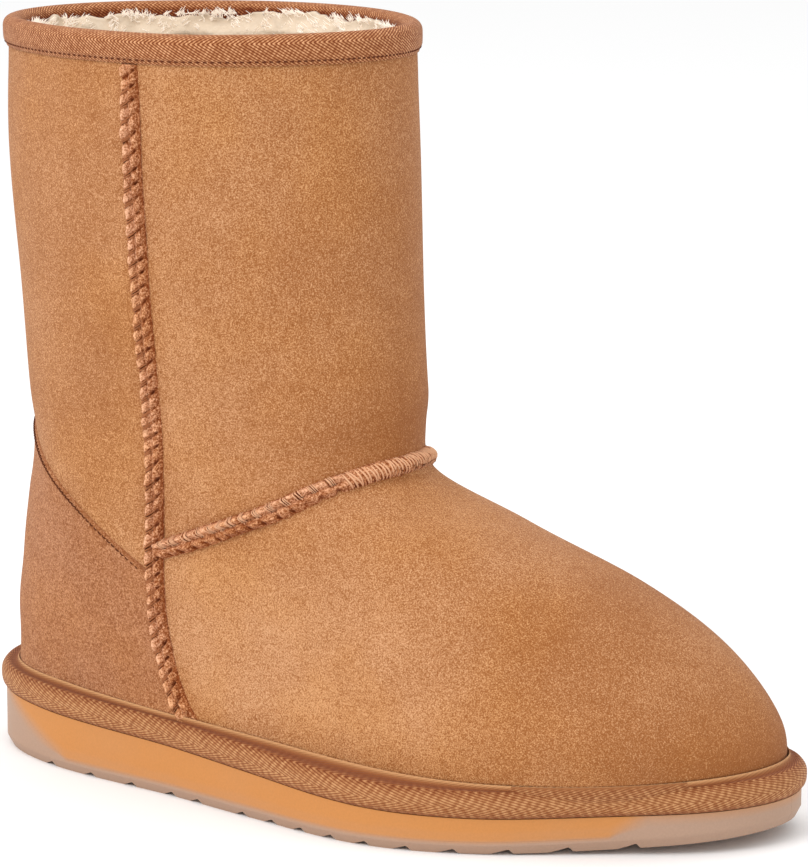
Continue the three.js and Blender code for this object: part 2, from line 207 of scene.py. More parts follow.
@dataclass(frozen=True)
class Level:
    """One level of the upper, as shares of the sizes that it belongs to."""

    heel_z: float
    toe_z: float
    heel_x: float
    toe_x: float
    swing: float
    heel_r: float
    toe_r: float
    outer: Triple
    inner: Triple

    def row(self, foot: float, height: float, back: float, length: float, swing: float,
            width: float) -> tuple[float, ...]:
        """The level in millimetres: heights, ends, swing, end radii and half-widths.

        Args:
            foot: Height from which the shares of height count.
            height: The height that they are shares of.
            back: Place along the boot from which the shares of length count.
            length: The length that they are shares of.
            swing: The full swing to the inner side.
            width: The width that the radii and half-widths are shares of.

        Returns:
            The level's row of the table.
        """
        return (
            foot + self.heel_z * height, foot + self.toe_z * height,
            back + self.heel_x * length, back + self.toe_x * length, self.swing * swing,
            *(share * width for share in (self.heel_r, self.toe_r, *self.outer, *self.inner)),
        )


LEVEL_AT = (0.15, 0.45, 0.72)
FOOT_LEVELS = (
    Level(0.309, 0.313, 0.028, 0.977, 0.88, 0.336, 0.386, (0.357, 0.465, 0.515), (0.335, 0.306, 0.382)),
    Level(0.475, 0.513, 0.03, 0.919, 0.777, 0.346, 0.347, (0.365, 0.442, 0.48), (0.352, 0.337, 0.388)),
    Level(0.655, 0.686, 0.038, 0.826, 0.523, 0.346, 0.312, (0.366, 0.423, 0.429), (0.362, 0.367, 0.378)),
    Level(0.836, 0.836, 0.048, 0.7, 0.2, 0.346, 0.294, (0.367, 0.408, 0.388), (0.367, 0.398, 0.375)),
)
SHAFT_LEVELS = (
    Level(0.002, -0.014, 0.053, 1.039, 0, 0.323, 0.287, (0.343, 0.391, 0.352), (0.343, 0.391, 0.352)),
    Level(0.131, 0.18, 0.033, 1.012, 0, 0.323, 0.316, (0.343, 0.41, 0.362), (0.343, 0.41, 0.362)),
    Level(0.383, 0.399, 0.016, 0.997, 0, 0.342, 0.329, (0.35, 0.448, 0.4), (0.352, 0.448, 0.4)),
    Level(0.714, 0.726, -0.01, 0.989, 0, 0.362, 0.336, (0.355, 0.481, 0.438), (0.361, 0.489, 0.438)),
    Level(0.993, 1.008, -0.008, 0.976, 0, 0.385, 0.327, (0.344, 0.489, 0.466), (0.359, 0.521, 0.462)),
)
TOP = len(FOOT_LEVELS) + len(SHAFT_LEVELS)
THROAT = len(FOOT_LEVELS) + 1


@dataclass(frozen=True)
class Outline:
    """An outline in plan: a centre line that swings to the inner side and a fullness on each side of it.

    Each value may be an array, so that one outline stands for many levels at once.
    """

    heel_x: Array
    toe_x: Array
    swing: Array
    stations: tuple[float, ...]
    outer: list[Array]
    inner: list[Array]

    @classmethod
    def of(cls, heel_x: Array, toe_x: Array, swing: Array, heel_r: Array, toe_r: Array, at: Sequence[float],
           outer: Sequence[Array], inner: Sequence[Array]) -> "Outline":
        """Makes an outline from half-widths.

        A half-width w at share s of the length has the fullness w / (2 sqrt(s (1 - s))), and an end of radius r has
        the fullness sqrt(r length / 2), so that the ends are round.

        Args:
            heel_x: Place of the heel's end.
            toe_x: Place of the toe's end.
            swing: How far the toe swings to the inner side.
            heel_r: Radius of the heel's end.
            toe_r: Radius of the toe's end.
            at: Shares of the length with a half-width.
            outer: The outer side's half-widths.
            inner: The inner side's half-widths.

        Returns:
            The outline.
        """
        length = toe_x - heel_x
        ends = (np.sqrt(heel_r * length / 2), np.sqrt(toe_r * length / 2))

        def full(halves: Sequence[Array]) -> list[Array]:
            """The fullness at every station of one side."""
            return [ends[0], *(w / (2 * math.sqrt(s * (1 - s))) for w, s in zip(halves, at)), ends[1]]

        return cls(heel_x, toe_x, swing, (0.0, *at, 1.0), full(outer), full(inner))

    def point(self, turn: Array) -> Array:
        """Points in plan at angle turn: 0 at the toe, a quarter turn on the inner side, half a turn at the heel.

        Args:
            turn: The angles.

        Returns:
            Points with a height of 0.
        """
        s = (1 + np.cos(turn)) / 2
        full = np.where(
            np.sin(turn) < 0, through(self.stations, self.outer, s), through(self.stations, self.inner, s)
        )
        x = self.heel_x + (self.toe_x - self.heel_x) * s
        y = self.swing * s**2.5 + full * np.sin(turn)
        return np.stack([x, y, np.zeros_like(x)], axis=-1)

    def outward(self, turn: Array) -> Array:
        """The level direction outwards at each angle."""
        step = 1e-3
        along = unit(self.point(turn + step) - self.point(turn - step))
        return np.stack([along[..., 1], -along[..., 0], np.zeros_like(along[..., 0])], axis=-1)

    def grown(self, turn: Array, distance: Array) -> Array:
        """The outline's points moved outwards in plan by a distance."""
        return self.point(turn) + self.outward(turn) * np.asarray(distance)[..., None]


@dataclass(frozen=True)
class SoleForm:
    """The sole's outline, the heights of its underside and top, and the grooves of its tread."""

    sizes: Sizes = field(default_factory=Sizes)
    heel: float = 20.3
    arch: float = 16.2
    ball: float = 11.8
    toe: float = 8.6
    toe_spring: float = 5.6
    spring_length: float = 90
    tread: float = 4.2
    groove_depth: float = 1.7
    groove_length: float = 5.5
    groove_radius: float = 190
    end_radii: tuple[float, float] = (0.33, 0.295)
    halves: tuple[tuple[float, float, float], ...] = (
        (0.12, 0.371, 0.351),
        (0.3, 0.448, 0.337),
        (0.45, 0.53, 0.327),
        (0.62, 0.614, 0.367),
        (0.74, 0.55, 0.392),
        (0.88, 0.365, 0.349),
    )
    grooves: tuple[float, ...] = (
        0.136, 0.205, 0.27, 0.332, 0.375, 0.449, 0.495, 0.54, 0.584, 0.628, 0.673, 0.718, 0.766, 0.815, 0.872,
    )

    @property
    def outline(self) -> Outline:
        """The sole's plan, from its table of half-widths."""
        width = self.sizes.ball_width
        return Outline.of(
            np.array(0.0),
            np.array(float(self.sizes.sole_length)),
            np.array(float(self.sizes.toe_swing)),
            np.array(self.end_radii[0] * width),
            np.array(self.end_radii[1] * width),
            [row[0] for row in self.halves],
            [np.array(row[1] * width) for row in self.halves],
            [np.array(row[2] * width) for row in self.halves],
        )

    def half_width(self, side: list[Array], s: Array) -> Array:
        """The half-width of one side at share s of the length."""
        return through(self.outline.stations, side, s) * 2 * np.sqrt(s * (1 - s))

    def bottom(self, x: Array) -> Array:
        """Height of the underside: flat, then a parabola that rises under the toe."""
        run = np.maximum(x - (self.sizes.sole_length - self.spring_length), 0) / self.spring_length
        return self.toe_spring * run**2

    def top(self, x: Array) -> Array:
        """Height of the sole's top, a smooth curve from heel to toe."""
        stations = [share * self.sizes.sole_length for share in (0, 0.39, 0.71, 1)]
        return through(stations, [self.heel, self.arch, self.ball, self.toe + self.toe_spring], x)

    def groove(self, x: Array, y: Array) -> Array:
        """Depth of the tread's grooves: each rises steeply behind its front arc and falls along a long ramp.

        Args:
            x: Places along the boot.
            y: Places across it.

        Returns:
            The depth in millimetres, 0 between the grooves.
        """
        reach = np.sqrt(np.maximum(self.groove_radius**2 - y**2, 0))
        lead = self.groove_radius - math.sqrt(self.groove_radius**2 - (self.sizes.ball_width / 2) ** 2)
        depth = np.zeros(np.broadcast(x, y).shape)
        steep = self.groove_depth / 3 + 0.5
        for share in self.grooves:
            front = share * self.sizes.sole_length + lead - self.groove_radius + reach
            back = front - x
            rise = np.minimum(back / steep, (self.groove_length - back) / (self.groove_length - steep))
            depth = np.maximum(depth, self.groove_depth * np.clip(rise, 0, 1))
        return depth


@dataclass(frozen=True)
class UpperForm:
    """The upper's outer surface: a tube of levels from the footprint to the collar, read at level t and angle turn."""

    sizes: Sizes
    sole: SoleForm

    def rows(self) -> list[tuple[float, ...]]:
        """Every column of the levels in millimetres, the footprint first.

        Returns:
            One row for each level.
        """
        z = self.sizes
        outline = self.sole.outline
        halves = [
            float(self.sole.half_width(side, np.array(share))) - z.ledge
            for side in (outline.outer, outline.inner) for share in LEVEL_AT
        ]
        radii = [share * z.ball_width - z.ledge for share in self.sole.end_radii]
        footprint = (*self.seats(), z.ledge, z.sole_length - z.ledge, z.toe_swing, *radii, *halves)
        foot = [level.row(0, z.instep_height, 0, z.sole_length, z.toe_swing, z.ball_width) for level in FOOT_LEVELS]
        rise, back = z.boot_height - z.instep_height, z.shaft_front * z.sole_length - z.shaft_depth
        shaft = [
            level.row(z.instep_height, rise, back, z.shaft_depth, z.toe_swing, z.shaft_width) for level in SHAFT_LEVELS
        ]
        return [footprint, *foot, *shaft]

    def seats(self) -> list[float]:
        """Heights of the upper's lower edge at the heel and at the toe."""
        return [
            float(self.sole.top(np.array(float(x)))) + self.sizes.clearance for x in (0, self.sizes.sole_length)
        ]

    def level(self, t: Array) -> tuple[Outline, Array, Array]:
        """The outline at level t and the heights of its heel and toe.

        Args:
            t: Levels on the upper.

        Returns:
            The outline, and the heights of its heel and its toe.
        """
        table = np.array(self.rows())
        stations = list(range(TOP + 1))
        read = [through(stations, list(table[:, i]), t) for i in range(table.shape[1])]
        heel_z, toe_z, heel_x, toe_x, swing, heel_r, toe_r = read[:7]
        outline = Outline.of(heel_x, toe_x, swing, heel_r, toe_r, LEVEL_AT, read[7:10], read[10:13])
        return outline, heel_z, toe_z

    def point(self, t: Array, turn: Array) -> Array:
        """Places on the surface. The height runs straight from heel to toe, and sags onto the sole under level 1.

        Args:
            t: Levels on the upper.
            turn: Angles around it.

        Returns:
            Points in millimetres.
        """
        t, turn = np.asarray(t, float), np.asarray(turn, float)
        outline, heel_z, toe_z = self.level(t)
        place = outline.point(turn)
        s = (1 + np.cos(turn)) / 2
        heel, toe = self.seats()
        sag = self.sole.top(place[..., 0]) + self.sizes.clearance - (heel + (toe - heel) * s)
        place[..., 2] = heel_z + (toe_z - heel_z) * s + sag * np.maximum(1 - t, 0)
        return place

    def normal(self, t: Array, turn: Array) -> Array:
        """Directions outwards: the cross product of the steps around and up.

        Args:
            t: Levels on the upper.
            turn: Angles around it.

        Returns:
            Directions of length 1.
        """
        t, turn = np.asarray(t, float), np.asarray(turn, float)
        step = 1e-2
        around = self.point(t, turn + step) - self.point(t, turn - step)
        up = self.point(np.minimum(t + step, TOP), turn) - self.point(np.maximum(t - step, 0), turn)
        return unit(np.cross(around, up))

    def off(self, t: Array, turn: Array, distance: Array) -> Array:
        """Places off the surface, outwards where the distance is positive."""
        return self.point(t, turn) + self.normal(t, turn) * np.asarray(distance)[..., None]

    def level_at_height(self, z: Array) -> Array:
        """The level whose mean height is z.

        Args:
            z: Heights in millimetres.

        Returns:
            The levels.
        """
        z = np.asarray(z, float)

        def under(t: Array) -> Array:
            """Whether the level stands lower than z."""
            _, heel_z, toe_z = self.level(t)
            return (heel_z + toe_z) / 2 < z

        return halved(under, np.zeros_like(z), np.full_like(z, TOP))

    def level_over_sole(self, turn: Array, height: Array) -> Array:
        """The level of the foot where the surface stands at a height over the sole's top.

        Args:
            turn: Angles around it.
            height: Height over the sole's top, in millimetres.

        Returns:
            The levels.
        """

        def under(t: Array) -> Array:
            """Whether the surface is lower than the height at that level."""
            place = self.point(t, turn)
            return place[..., 2] < self.sole.top(place[..., 0]) + height

        return halved(under, np.zeros_like(turn), np.full_like(turn, 2.0))


# Meshes


def new_object(name: str, data: bpy.types.ID) -> bpy.types.Object:
    """Puts a mesh, a light or a camera into the scene as an object."""
    thing = bpy.data.objects.new(name, data)
    bpy.context.scene.collection.objects.link(thing)
    return thing


class Ends(Enum):
    """How the first and last row of a surface are finished."""

    OPEN = 0
    CAPPED = 1
    JOINED = 2


class MeshShop:
    """Turns grids of points into Blender objects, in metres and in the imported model's frame."""

    RIM_POINTS = 40

    def __init__(self, sole: SoleForm) -> None:
        """Finds how far the boot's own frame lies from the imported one, from the low corner of the outsole."""
        rim = sole.outline.point(even_turns(self.RIM_POINTS))
        low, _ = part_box("outsole")
        self.shift = np.array([low.x / MM - rim[:, 0].min(), low.y / MM - rim[:, 1].min(), 0.0])

    def place(self, points: Array) -> Array:
        """Points of the boot's own frame in metres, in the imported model's frame."""
        return (points + self.shift) * MM

    @staticmethod
    def filled(name: str, places: Array, corners: Array, starts: Array) -> bpy.types.Mesh:
        """Makes a smooth shaded mesh.

        Args:
            name: The mesh's name.
            places: Its vertices, in metres.
            corners: The vertex of every face corner, face after face.
            starts: Where each face begins among the corners.

        Returns:
            The mesh, with its edges.
        """
        mesh = bpy.data.meshes.new(name)
        mesh.vertices.add(len(places))
        mesh.vertices.foreach_set("co", places.astype(np.float32).ravel())
        mesh.loops.add(len(corners))
        mesh.loops.foreach_set("vertex_index", corners.astype(np.int32))
        mesh.polygons.add(len(starts))
        mesh.polygons.foreach_set("loop_start", starts.astype(np.int32))
        mesh.update(calc_edges=True)
        mesh.polygons.foreach_set("use_smooth", np.ones(len(starts), bool))
        return mesh

    def surface(self, name: str, grid: Array, ends: Ends = Ends.OPEN, around: bool = True,
                uv: Array | None = None, values: dict[str, Array] | None = None,
                sharp: float | None = None) -> bpy.types.Object:
        """Makes one object from a grid of points.

        Args:
            name: The object's name.
            grid: Points by row, column and axis, in millimetres.
            ends: Whether the rows end open, are capped, or join up into a ring.
            around: Whether the last column joins the first.
            uv: A texture place for each corner of the grid, with one more row or column where it joins up.
            values: Further numbers for each point, by name.
            sharp: The angle in degrees from which an edge is left sharp, or none.

        Returns:
            The new object, smooth shaded, with its faces outwards.
        """
        rows, columns = grid.shape[:2]
        last_row = rows if ends is Ends.JOINED else rows - 1
        last_column = columns if around else columns - 1
        i, j = np.meshgrid(np.arange(last_row), np.arange(last_column), indexing="ij")
        below, beside = (i + 1) % rows, (j + 1) % columns
        quads = np.stack(
            [i * columns + j, below * columns + j, below * columns + beside, i * columns + beside], axis=-1
        ).reshape(-1, 4)
        places = self.place(grid.reshape(-1, 3))
        loops, starts = [quads.ravel()], [np.arange(len(quads)) * 4]
        if ends is Ends.CAPPED:
            caps = (np.arange(columns), (rows - 1) * columns + np.arange(columns)[::-1])
            for k, (ring, row) in enumerate(zip(caps, (0, rows - 1))):
                centre = len(places)
                places = np.vstack([places, self.place(grid[row].mean(0))])
                fan = np.stack([ring, np.roll(ring, -1), np.full(columns, centre)], axis=-1)
                starts.append(len(quads) * 4 + k * 3 * columns + np.arange(columns) * 3)
                loops.append(fan.ravel())
        corners, starts = np.concatenate(loops), np.concatenate(starts)
        a, b, c, d = (places[quads[:, k]] for k in range(4))
        outward = np.einsum("ij,ij->i", np.cross(c - a, d - b), (a + b + c + d) / 4 - places.mean(0)).sum()
        mesh = self.filled(name, places, corners, starts)
        if uv is not None:
            layer = mesh.uv_layers.new(name="cloth")
            flat = np.stack([uv[i, j], uv[i + 1, j], uv[i + 1, j + 1], uv[i, j + 1]], axis=2).reshape(-1, 2)
            padded = np.zeros((len(corners), 2))
            padded[: len(flat)] = flat
            layer.data.foreach_set("uv", padded.astype(np.float32).ravel())
        for key, numbers in (values or {}).items():
            full = np.zeros(len(places))
            full[: rows * columns] = numbers.ravel()
            mesh.attributes.new(key, "FLOAT", "POINT").data.foreach_set("value", full.astype(np.float32))
        if outward < 0:
            mesh.flip_normals()
        mesh.validate()
        if sharp is not None:
            mesh.set_sharp_from_angle(angle=math.radians(sharp))
        return new_object(name, mesh)

    def tubes(self, name: str, paths: Array, radius: Array, sides: int = 6) -> bpy.types.Object:
        """Makes many short tubes at once, one around each path, closed at both ends.

        A ring of points stands around each place of a path, in the plane of two directions that are square to it.

        Args:
            name: The object's name.
            paths: Points by tube, step and axis, in millimetres.
            radius: The tube's radius at each tube and step.
            sides: How many points a ring has.

        Returns:
            The new object.
        """
        count, steps = paths.shape[:2]
        along = unit(np.gradient(paths, axis=1))
        helper = np.where(np.abs(along[..., 2:3]) < 0.9, [0.0, 0.0, 1.0], [1.0, 0.0, 0.0])
        side = unit(np.cross(along, helper))
        other = np.cross(along, side)
        angle = even_turns(sides)
        ring = side[:, :, None] * np.cos(angle)[None, None, :, None]
        ring = ring + other[:, :, None] * np.sin(angle)[None, None, :, None]
        points = paths[:, :, None] + ring * np.asarray(radius)[..., None, None]
        tips = np.stack([paths[:, 0], paths[:, -1]], axis=1)
        places = self.place(np.concatenate([points.reshape(count, -1, 3), tips], axis=1).reshape(-1, 3))
        step, k = np.meshgrid(np.arange(steps - 1), np.arange(sides), indexing="ij")
        beside = (k + 1) % sides
        quads = np.stack(
            [step * sides + k, step * sides + beside, (step + 1) * sides + beside, (step + 1) * sides + k], axis=-1
        ).reshape(-1)
        first, last = np.arange(sides), (steps - 1) * sides + np.arange(sides)
        tip = steps * sides
        low = np.stack([np.roll(first, -1), first, np.full(sides, tip)], axis=-1).ravel()
        high = np.stack([last, np.roll(last, -1), np.full(sides, tip + 1)], axis=-1).ravel()
        one = np.concatenate([quads, low, high])
        lengths = np.concatenate([np.full(len(quads) // 4, 4), np.full(2 * sides, 3)])
        corners = (one[None] + np.arange(count)[:, None] * (tip + 2)).ravel()
        mesh = self.filled(name, places, corners, so_far(np.tile(lengths, count))[:-1])
        mesh.validate()
        return new_object(name, mesh)


def finish_piece(piece: bpy.types.Object, material: bpy.types.Material, nodes: Sequence[str] = ()) -> None:
    """Gives a piece its material and slot, fixes it to the boot, and lets it stand for its solids.

    Args:
        piece: The object.
        material: What it is made of.
        nodes: The solids that the piece replaces.
    """
    piece.data.materials.clear()
    piece.data.materials.append(material)
    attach(piece, BODY)
    if nodes:
        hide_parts(*nodes)
    log.info("%s: %d faces", piece.name, len(piece.data.polygons))


# Node trees


class Graph:
    """Adds nodes to one tree and links them."""

    def __init__(self, tree: bpy.types.NodeTree) -> None:
        """Takes the tree that the nodes go into."""
        self.tree = tree

    def node(self, kind: str, values: dict | None = None, **settings: object) -> bpy.types.Node:
        """Adds a node.

        Args:
            kind: Blender's name for the node type.
            values: For each input, a number, a colour or another node's output.
            settings: The node's own settings.

        Returns:
            The node.
        """
        node = self.tree.nodes.new(kind)
        for key, value in settings.items():
            setattr(node, key, value)
        self.give(node, values or {})
        return node

    def give(self, node: bpy.types.Node, values: dict) -> None:
        """Sets each named input to its number or colour, or links another node's output to it.

        Args:
            node: The node.
            values: A number, a colour or an output for each input.
        """
        for key, value in values.items():
            if isinstance(value, bpy.types.NodeSocket):
                self.tree.links.new(value, node.inputs[key])
            else:
                node.inputs[key].default_value = value

    def math(self, operation: str, a: Socket | float, b: Socket | float = 0.0, c: Socket | float = 0.0,
             clamp: bool = False) -> Socket:
        """The result of one sum on numbers."""
        return self.node("ShaderNodeMath", {0: a, 1: b, 2: c}, operation=operation, use_clamp=clamp).outputs[0]

    def swing(self, value: Socket, weight: Socket | float) -> Socket:
        """How far a value from 0 to 1 lies over or under a half, times a weight."""
        return self.math("MULTIPLY", self.math("SUBTRACT", value, 0.5), weight)

    def attribute(self, name: str) -> Socket:
        """The number that the mesh carries under a name."""
        return self.node("ShaderNodeAttribute", attribute_name=name).outputs["Fac"]

    def mix(self, factor: Socket | float, a: Socket | tuple, b: Socket | tuple, blend: str = "MIX") -> Socket:
        """A blend of two colours."""
        return self.node(
            "ShaderNodeMix", {0: factor, 6: a, 7: b}, data_type="RGBA", blend_type=blend, clamp_factor=True
        ).outputs[2]

    def between(self, tone: Socket, dark: Socket | tuple, light: Socket | tuple) -> Socket:
        """A colour between two screen colours: mixed as screen values, then made linear with a power."""
        return self.node("ShaderNodeGamma", {"Color": self.mix(tone, dark, light), "Gamma": SCREEN_POWER}).outputs[0]

    def noise(self, vector: Socket, scale: Socket | float, detail: float = 2.0, rough: float = 0.5) -> Socket:
        """Smooth noise from 0 to 1."""
        return self.node(
            "ShaderNodeTexNoise", {"Vector": vector, "Scale": scale, "Detail": detail, "Roughness": rough}
        ).outputs[0]

    def ramp(self, value: Socket, low: float, high: float) -> Socket:
        """Takes a value from the range low to high onto 0 to 1, smoothly."""
        return self.node(
            "ShaderNodeMapRange", {"Value": value, "From Min": low, "From Max": high}, interpolation_type="SMOOTHSTEP"
        ).outputs[0]


class Kind(Enum):
    """Socket types of a shader group."""

    NUMBER = "NodeSocketFloat"
    COLOUR = "NodeSocketColor"
    VECTOR = "NodeSocketVector"


def shader_group(name: str, inputs: dict[str, Kind], outputs: dict[str, Kind],
                 fill: Callable[[Graph, dict[str, Socket]], dict[str, Socket]]) -> bpy.types.NodeTree:
    """Builds one group of nodes that several materials share.

    Args:
        name: The group's name.
        inputs: Its input names and their kinds.
        outputs: Its output names and their kinds.
        fill: Adds the nodes, from the inputs by name to the outputs by name.

    Returns:
        The group.
    """
    tree = bpy.data.node_groups.new(name, "ShaderNodeTree")
    for label, kind in inputs.items():
        tree.interface.new_socket(name=label, in_out="INPUT", socket_type=kind.value)
    for label, kind in outputs.items():
        tree.interface.new_socket(name=label, in_out="OUTPUT", socket_type=kind.value)
    graph = Graph(tree)
    source, sink = tree.nodes.new("NodeGroupInput"), tree.nodes.new("NodeGroupOutput")
    graph.give(sink, fill(graph, {label: source.outputs[label] for label in inputs}))
    return tree


def nap_nodes(graph: Graph, given: dict[str, Socket]) -> dict[str, Socket]:
    """Brushed suede: soft clouds, mottling and a fine speckle of nap between two colours, warmer in patches.

    Args:
        graph: The group's nodes.
        given: The group's inputs by name.

    Returns:
        The colour and the height.
    """
    place = given["Place"]
    cloud = graph.noise(place, 16.0, 3.0)
    mottle = graph.noise(place, 75.0, 4.0, 0.6)
    fibre = graph.noise(place, 520.0, 3.0, 0.7)
    speckle = graph.noise(place, given["Grain"], 2.0, 0.9)
    tone = 0.5
    for part, weight in ((cloud, 0.55), (mottle, 0.35), (fibre, 0.6), (speckle, given["Speckle"])):
        tone = graph.math("ADD", tone, graph.swing(part, weight))
    tone = graph.math("SUBTRACT", tone, given["Shade"], clamp=True)
    warm = graph.ramp(graph.noise(place, 24.0, 3.0), 0.38, 0.68)
    colour = graph.between(tone, given["Dark"], given["Light"])
    colour = graph.mix(warm, colour, (1.0, 0.96, 0.82, 1.0), "MULTIPLY")
    height = graph.math("ADD", speckle, graph.math("MULTIPLY", fibre, 0.8))
    return {"Colour": colour, "Height": height}


def twill_nodes(graph: Graph, given: dict[str, Socket]) -> dict[str, Socket]:
    """Herringbone tape on its own map in millimetres: slanted ribs that turn back at each column's edge.

    Args:
        graph: The group's nodes.
        given: The group's inputs by name.

    Returns:
        The colour and the height.
    """
    parts = graph.node("ShaderNodeSeparateXYZ", {0: given["Cloth"]})
    along, across = parts.outputs[0], parts.outputs[1]
    fold = graph.math("PINGPONG", across, given["Column"])
    lean = graph.math("ADD", along, graph.math("MULTIPLY", fold, given["Lean"]))
    beat = graph.math("SUBTRACT", along, graph.math("MULTIPLY", fold, 0.55))

    def wave(distance: Socket) -> Socket:
        """A wave from 0 to 1 with one rib's period."""
        phase = graph.math("MULTIPLY", graph.math("DIVIDE", distance, given["Rib"]), 2 * math.pi)
        return graph.math("MULTIPLY_ADD", graph.math("SINE", phase), 0.5, 0.5)

    rib = wave(lean)
    floats = graph.math("MULTIPLY_ADD", wave(beat), 0.35, 0.7)
    uneven = graph.math("MULTIPLY_ADD", graph.noise(given["Place"], 700.0, 4.0, 0.65), 1.7, 0.05)
    lit = graph.math("MULTIPLY", graph.math("POWER", rib, given["Thin"]), floats)
    ribbed = graph.math("MULTIPLY", graph.math("MULTIPLY", lit, uneven), graph.math("SUBTRACT", 1.0, given["Plain"]))
    woven = graph.math("MULTIPLY_ADD", given["Plain"], 0.8, ribbed)
    tone = graph.math("SUBTRACT", woven, given["Shade"], clamp=True)
    return {"Colour": graph.between(tone, given["Dark"], given["Light"]), "Height": rib}


def pile_nodes(graph: Graph, given: dict[str, Socket]) -> dict[str, Socket]:
    """Fleece: soft clumps with painted shade in the hollows between them, and a fine curl.

    Args:
        graph: The group's nodes.
        given: The group's inputs by name.

    Returns:
        The colour and the height.
    """
    clump = graph.noise(given["Place"], 150.0, 3.0, 0.6)
    curl = graph.noise(given["Place"], 900.0, 3.0, 0.7)
    # The low clumps take the dark colour: painted shade in the hollows.
    tone = graph.math("ADD", graph.math("MULTIPLY", clump, 0.7), graph.math("MULTIPLY", curl, 0.45), clamp=True)
    return {"Colour": graph.between(tone, given["Dark"], given["Light"]), "Height": graph.math("ADD", clump, curl)}


@dataclass(frozen=True)
class Finishes:
    """Holds the shader groups that the materials share."""

    nap: bpy.types.NodeTree
    twill: bpy.types.NodeTree
    pile: bpy.types.NodeTree

    @classmethod
    def build(cls) -> "Finishes":
        """Builds the three groups once.

        Returns:
            The groups.
        """
        common = {"Place": Kind.VECTOR, "Dark": Kind.COLOUR, "Light": Kind.COLOUR}
        nap = dict.fromkeys(("Grain", "Speckle", "Shade"), Kind.NUMBER)
        twill = dict.fromkeys(("Rib", "Column", "Lean", "Thin", "Shade", "Plain"), Kind.NUMBER)
        out = {"Colour": Kind.COLOUR, "Height": Kind.NUMBER}
        return cls(
            nap=shader_group("brushed_nap", {**common, **nap}, out, nap_nodes),
            twill=shader_group("herringbone_twill", {**common, "Cloth": Kind.VECTOR, **twill}, out, twill_nodes),
            pile=shader_group("fleece_pile", common, out, pile_nodes),
        )


def screen(colour: Triple) -> tuple[float, float, float, float]:
    """A screen colour from 0 to 255 as shares of full light."""
    return (*(channel / 255 for channel in colour), 1.0)


def rgb(colour: Triple, share: float = 1.0) -> tuple[float, float, float, float]:
    """A screen colour from 0 to 255 as Blender's linear colour, or a share of its light."""
    linear = [c / 255 / 12.92 if c <= 10.3 else ((c / 255 + 0.055) / 1.055) ** 2.4 for c in colour]
    return (*(share * channel for channel in linear), 1.0)


@dataclass(frozen=True)
class Finish:
    """What every finish has: a name, two colours, a roughness, and how far its relief stands out in millimetres."""

    name: str
    dark: Triple
    light: Triple
    roughness: float = 0.9
    relief: float = 0.2
    strength: float = 0.6
    sheen: float = 0.0
    shine: float = 0.25

    def shader(self) -> tuple[bpy.types.Material, Graph, bpy.types.Node, Socket]:
        """Starts the material: its nodes, its shader and the place in the object's own frame.

        Returns:
            The material, its nodes, its shader and the place.
        """
        material = bpy.data.materials.new(self.name)
        material.use_nodes = True
        graph = Graph(material.node_tree)
        surface = material.node_tree.nodes["Principled BSDF"]
        graph.give(surface, {"Roughness": self.roughness, "Specular IOR Level": self.shine,
                             "Sheen Weight": self.sheen, "Sheen Roughness": 0.6})
        place = graph.node("ShaderNodeTexCoord").outputs["Object"]
        return material, graph, surface, place

    def cover(self, graph: Graph, surface: bpy.types.Node, colour: Socket, height: Socket) -> None:
        """Gives the shader its colour, and raises the relief on its normal."""
        bump = {"Height": height, "Strength": self.strength, "Distance": self.relief * MM}
        normal = graph.node("ShaderNodeBump", bump).outputs[0]
        graph.give(surface, {"Base Color": colour, "Normal": normal})


@dataclass(frozen=True)
class Shared(Finish):
    """A finish whose colour and relief come from a shared group."""

    def group(self, finishes: Finishes) -> bpy.types.NodeTree:
        """The shared group."""
        raise NotImplementedError

    def extras(self, graph: Graph) -> dict[str, Socket | float]:
        """What the group takes besides the place and the two colours."""
        return {}

    def material(self, finishes: Finishes) -> bpy.types.Material:
        """The finish as a material.

        Args:
            finishes: The shared groups.

        Returns:
            The material.
        """
        material, graph, surface, place = self.shader()
        given = {"Place": place, "Dark": screen(self.dark), "Light": screen(self.light), **self.extras(graph)}
        group = graph.node("ShaderNodeGroup", given, node_tree=self.group(finishes))
        self.cover(graph, surface, group.outputs["Colour"], group.outputs["Height"])
        return material


@dataclass(frozen=True)
class Suede(Shared):
    """Brushed sheepskin. The attribute shade darkens it where the hide or the light is darker."""

    grain: float = 2100.0
    speckle: float = 4.0

    def group(self, finishes: Finishes) -> bpy.types.NodeTree:
        """The brushed nap."""
        return finishes.nap

    def extras(self, graph: Graph) -> dict[str, Socket | float]:
        """The nap's fineness and strength, and the shade."""
        return {"Grain": self.grain, "Speckle": self.speckle, "Shade": graph.attribute("shade")}


@dataclass(frozen=True)
class Twill(Shared):
    """Herringbone tape, its pattern laid out along and across the tape in millimetres."""

    rib: float = 1.45
    column: float = 7.2
    lean: float = 1.5
    thin: float = 0.5

    def group(self, finishes: Finishes) -> bpy.types.NodeTree:
        """The herringbone."""
        return finishes.twill

    def extras(self, graph: Graph) -> dict[str, Socket | float]:
        """The map of the tape, the sizes of its weave, and where it has painted shade or no ribs."""
        return {
            "Cloth": graph.node("ShaderNodeUVMap", uv_map="cloth").outputs[0],
            "Rib": self.rib, "Column": self.column, "Lean": self.lean, "Thin": self.thin,
            "Shade": graph.attribute("shade"), "Plain": graph.attribute("plain"),
        }


@dataclass(frozen=True)
class Pile(Shared):
    """Fleece in soft clumps."""

    def group(self, finishes: Finishes) -> bpy.types.NodeTree:
        """The pile."""
        return finishes.pile


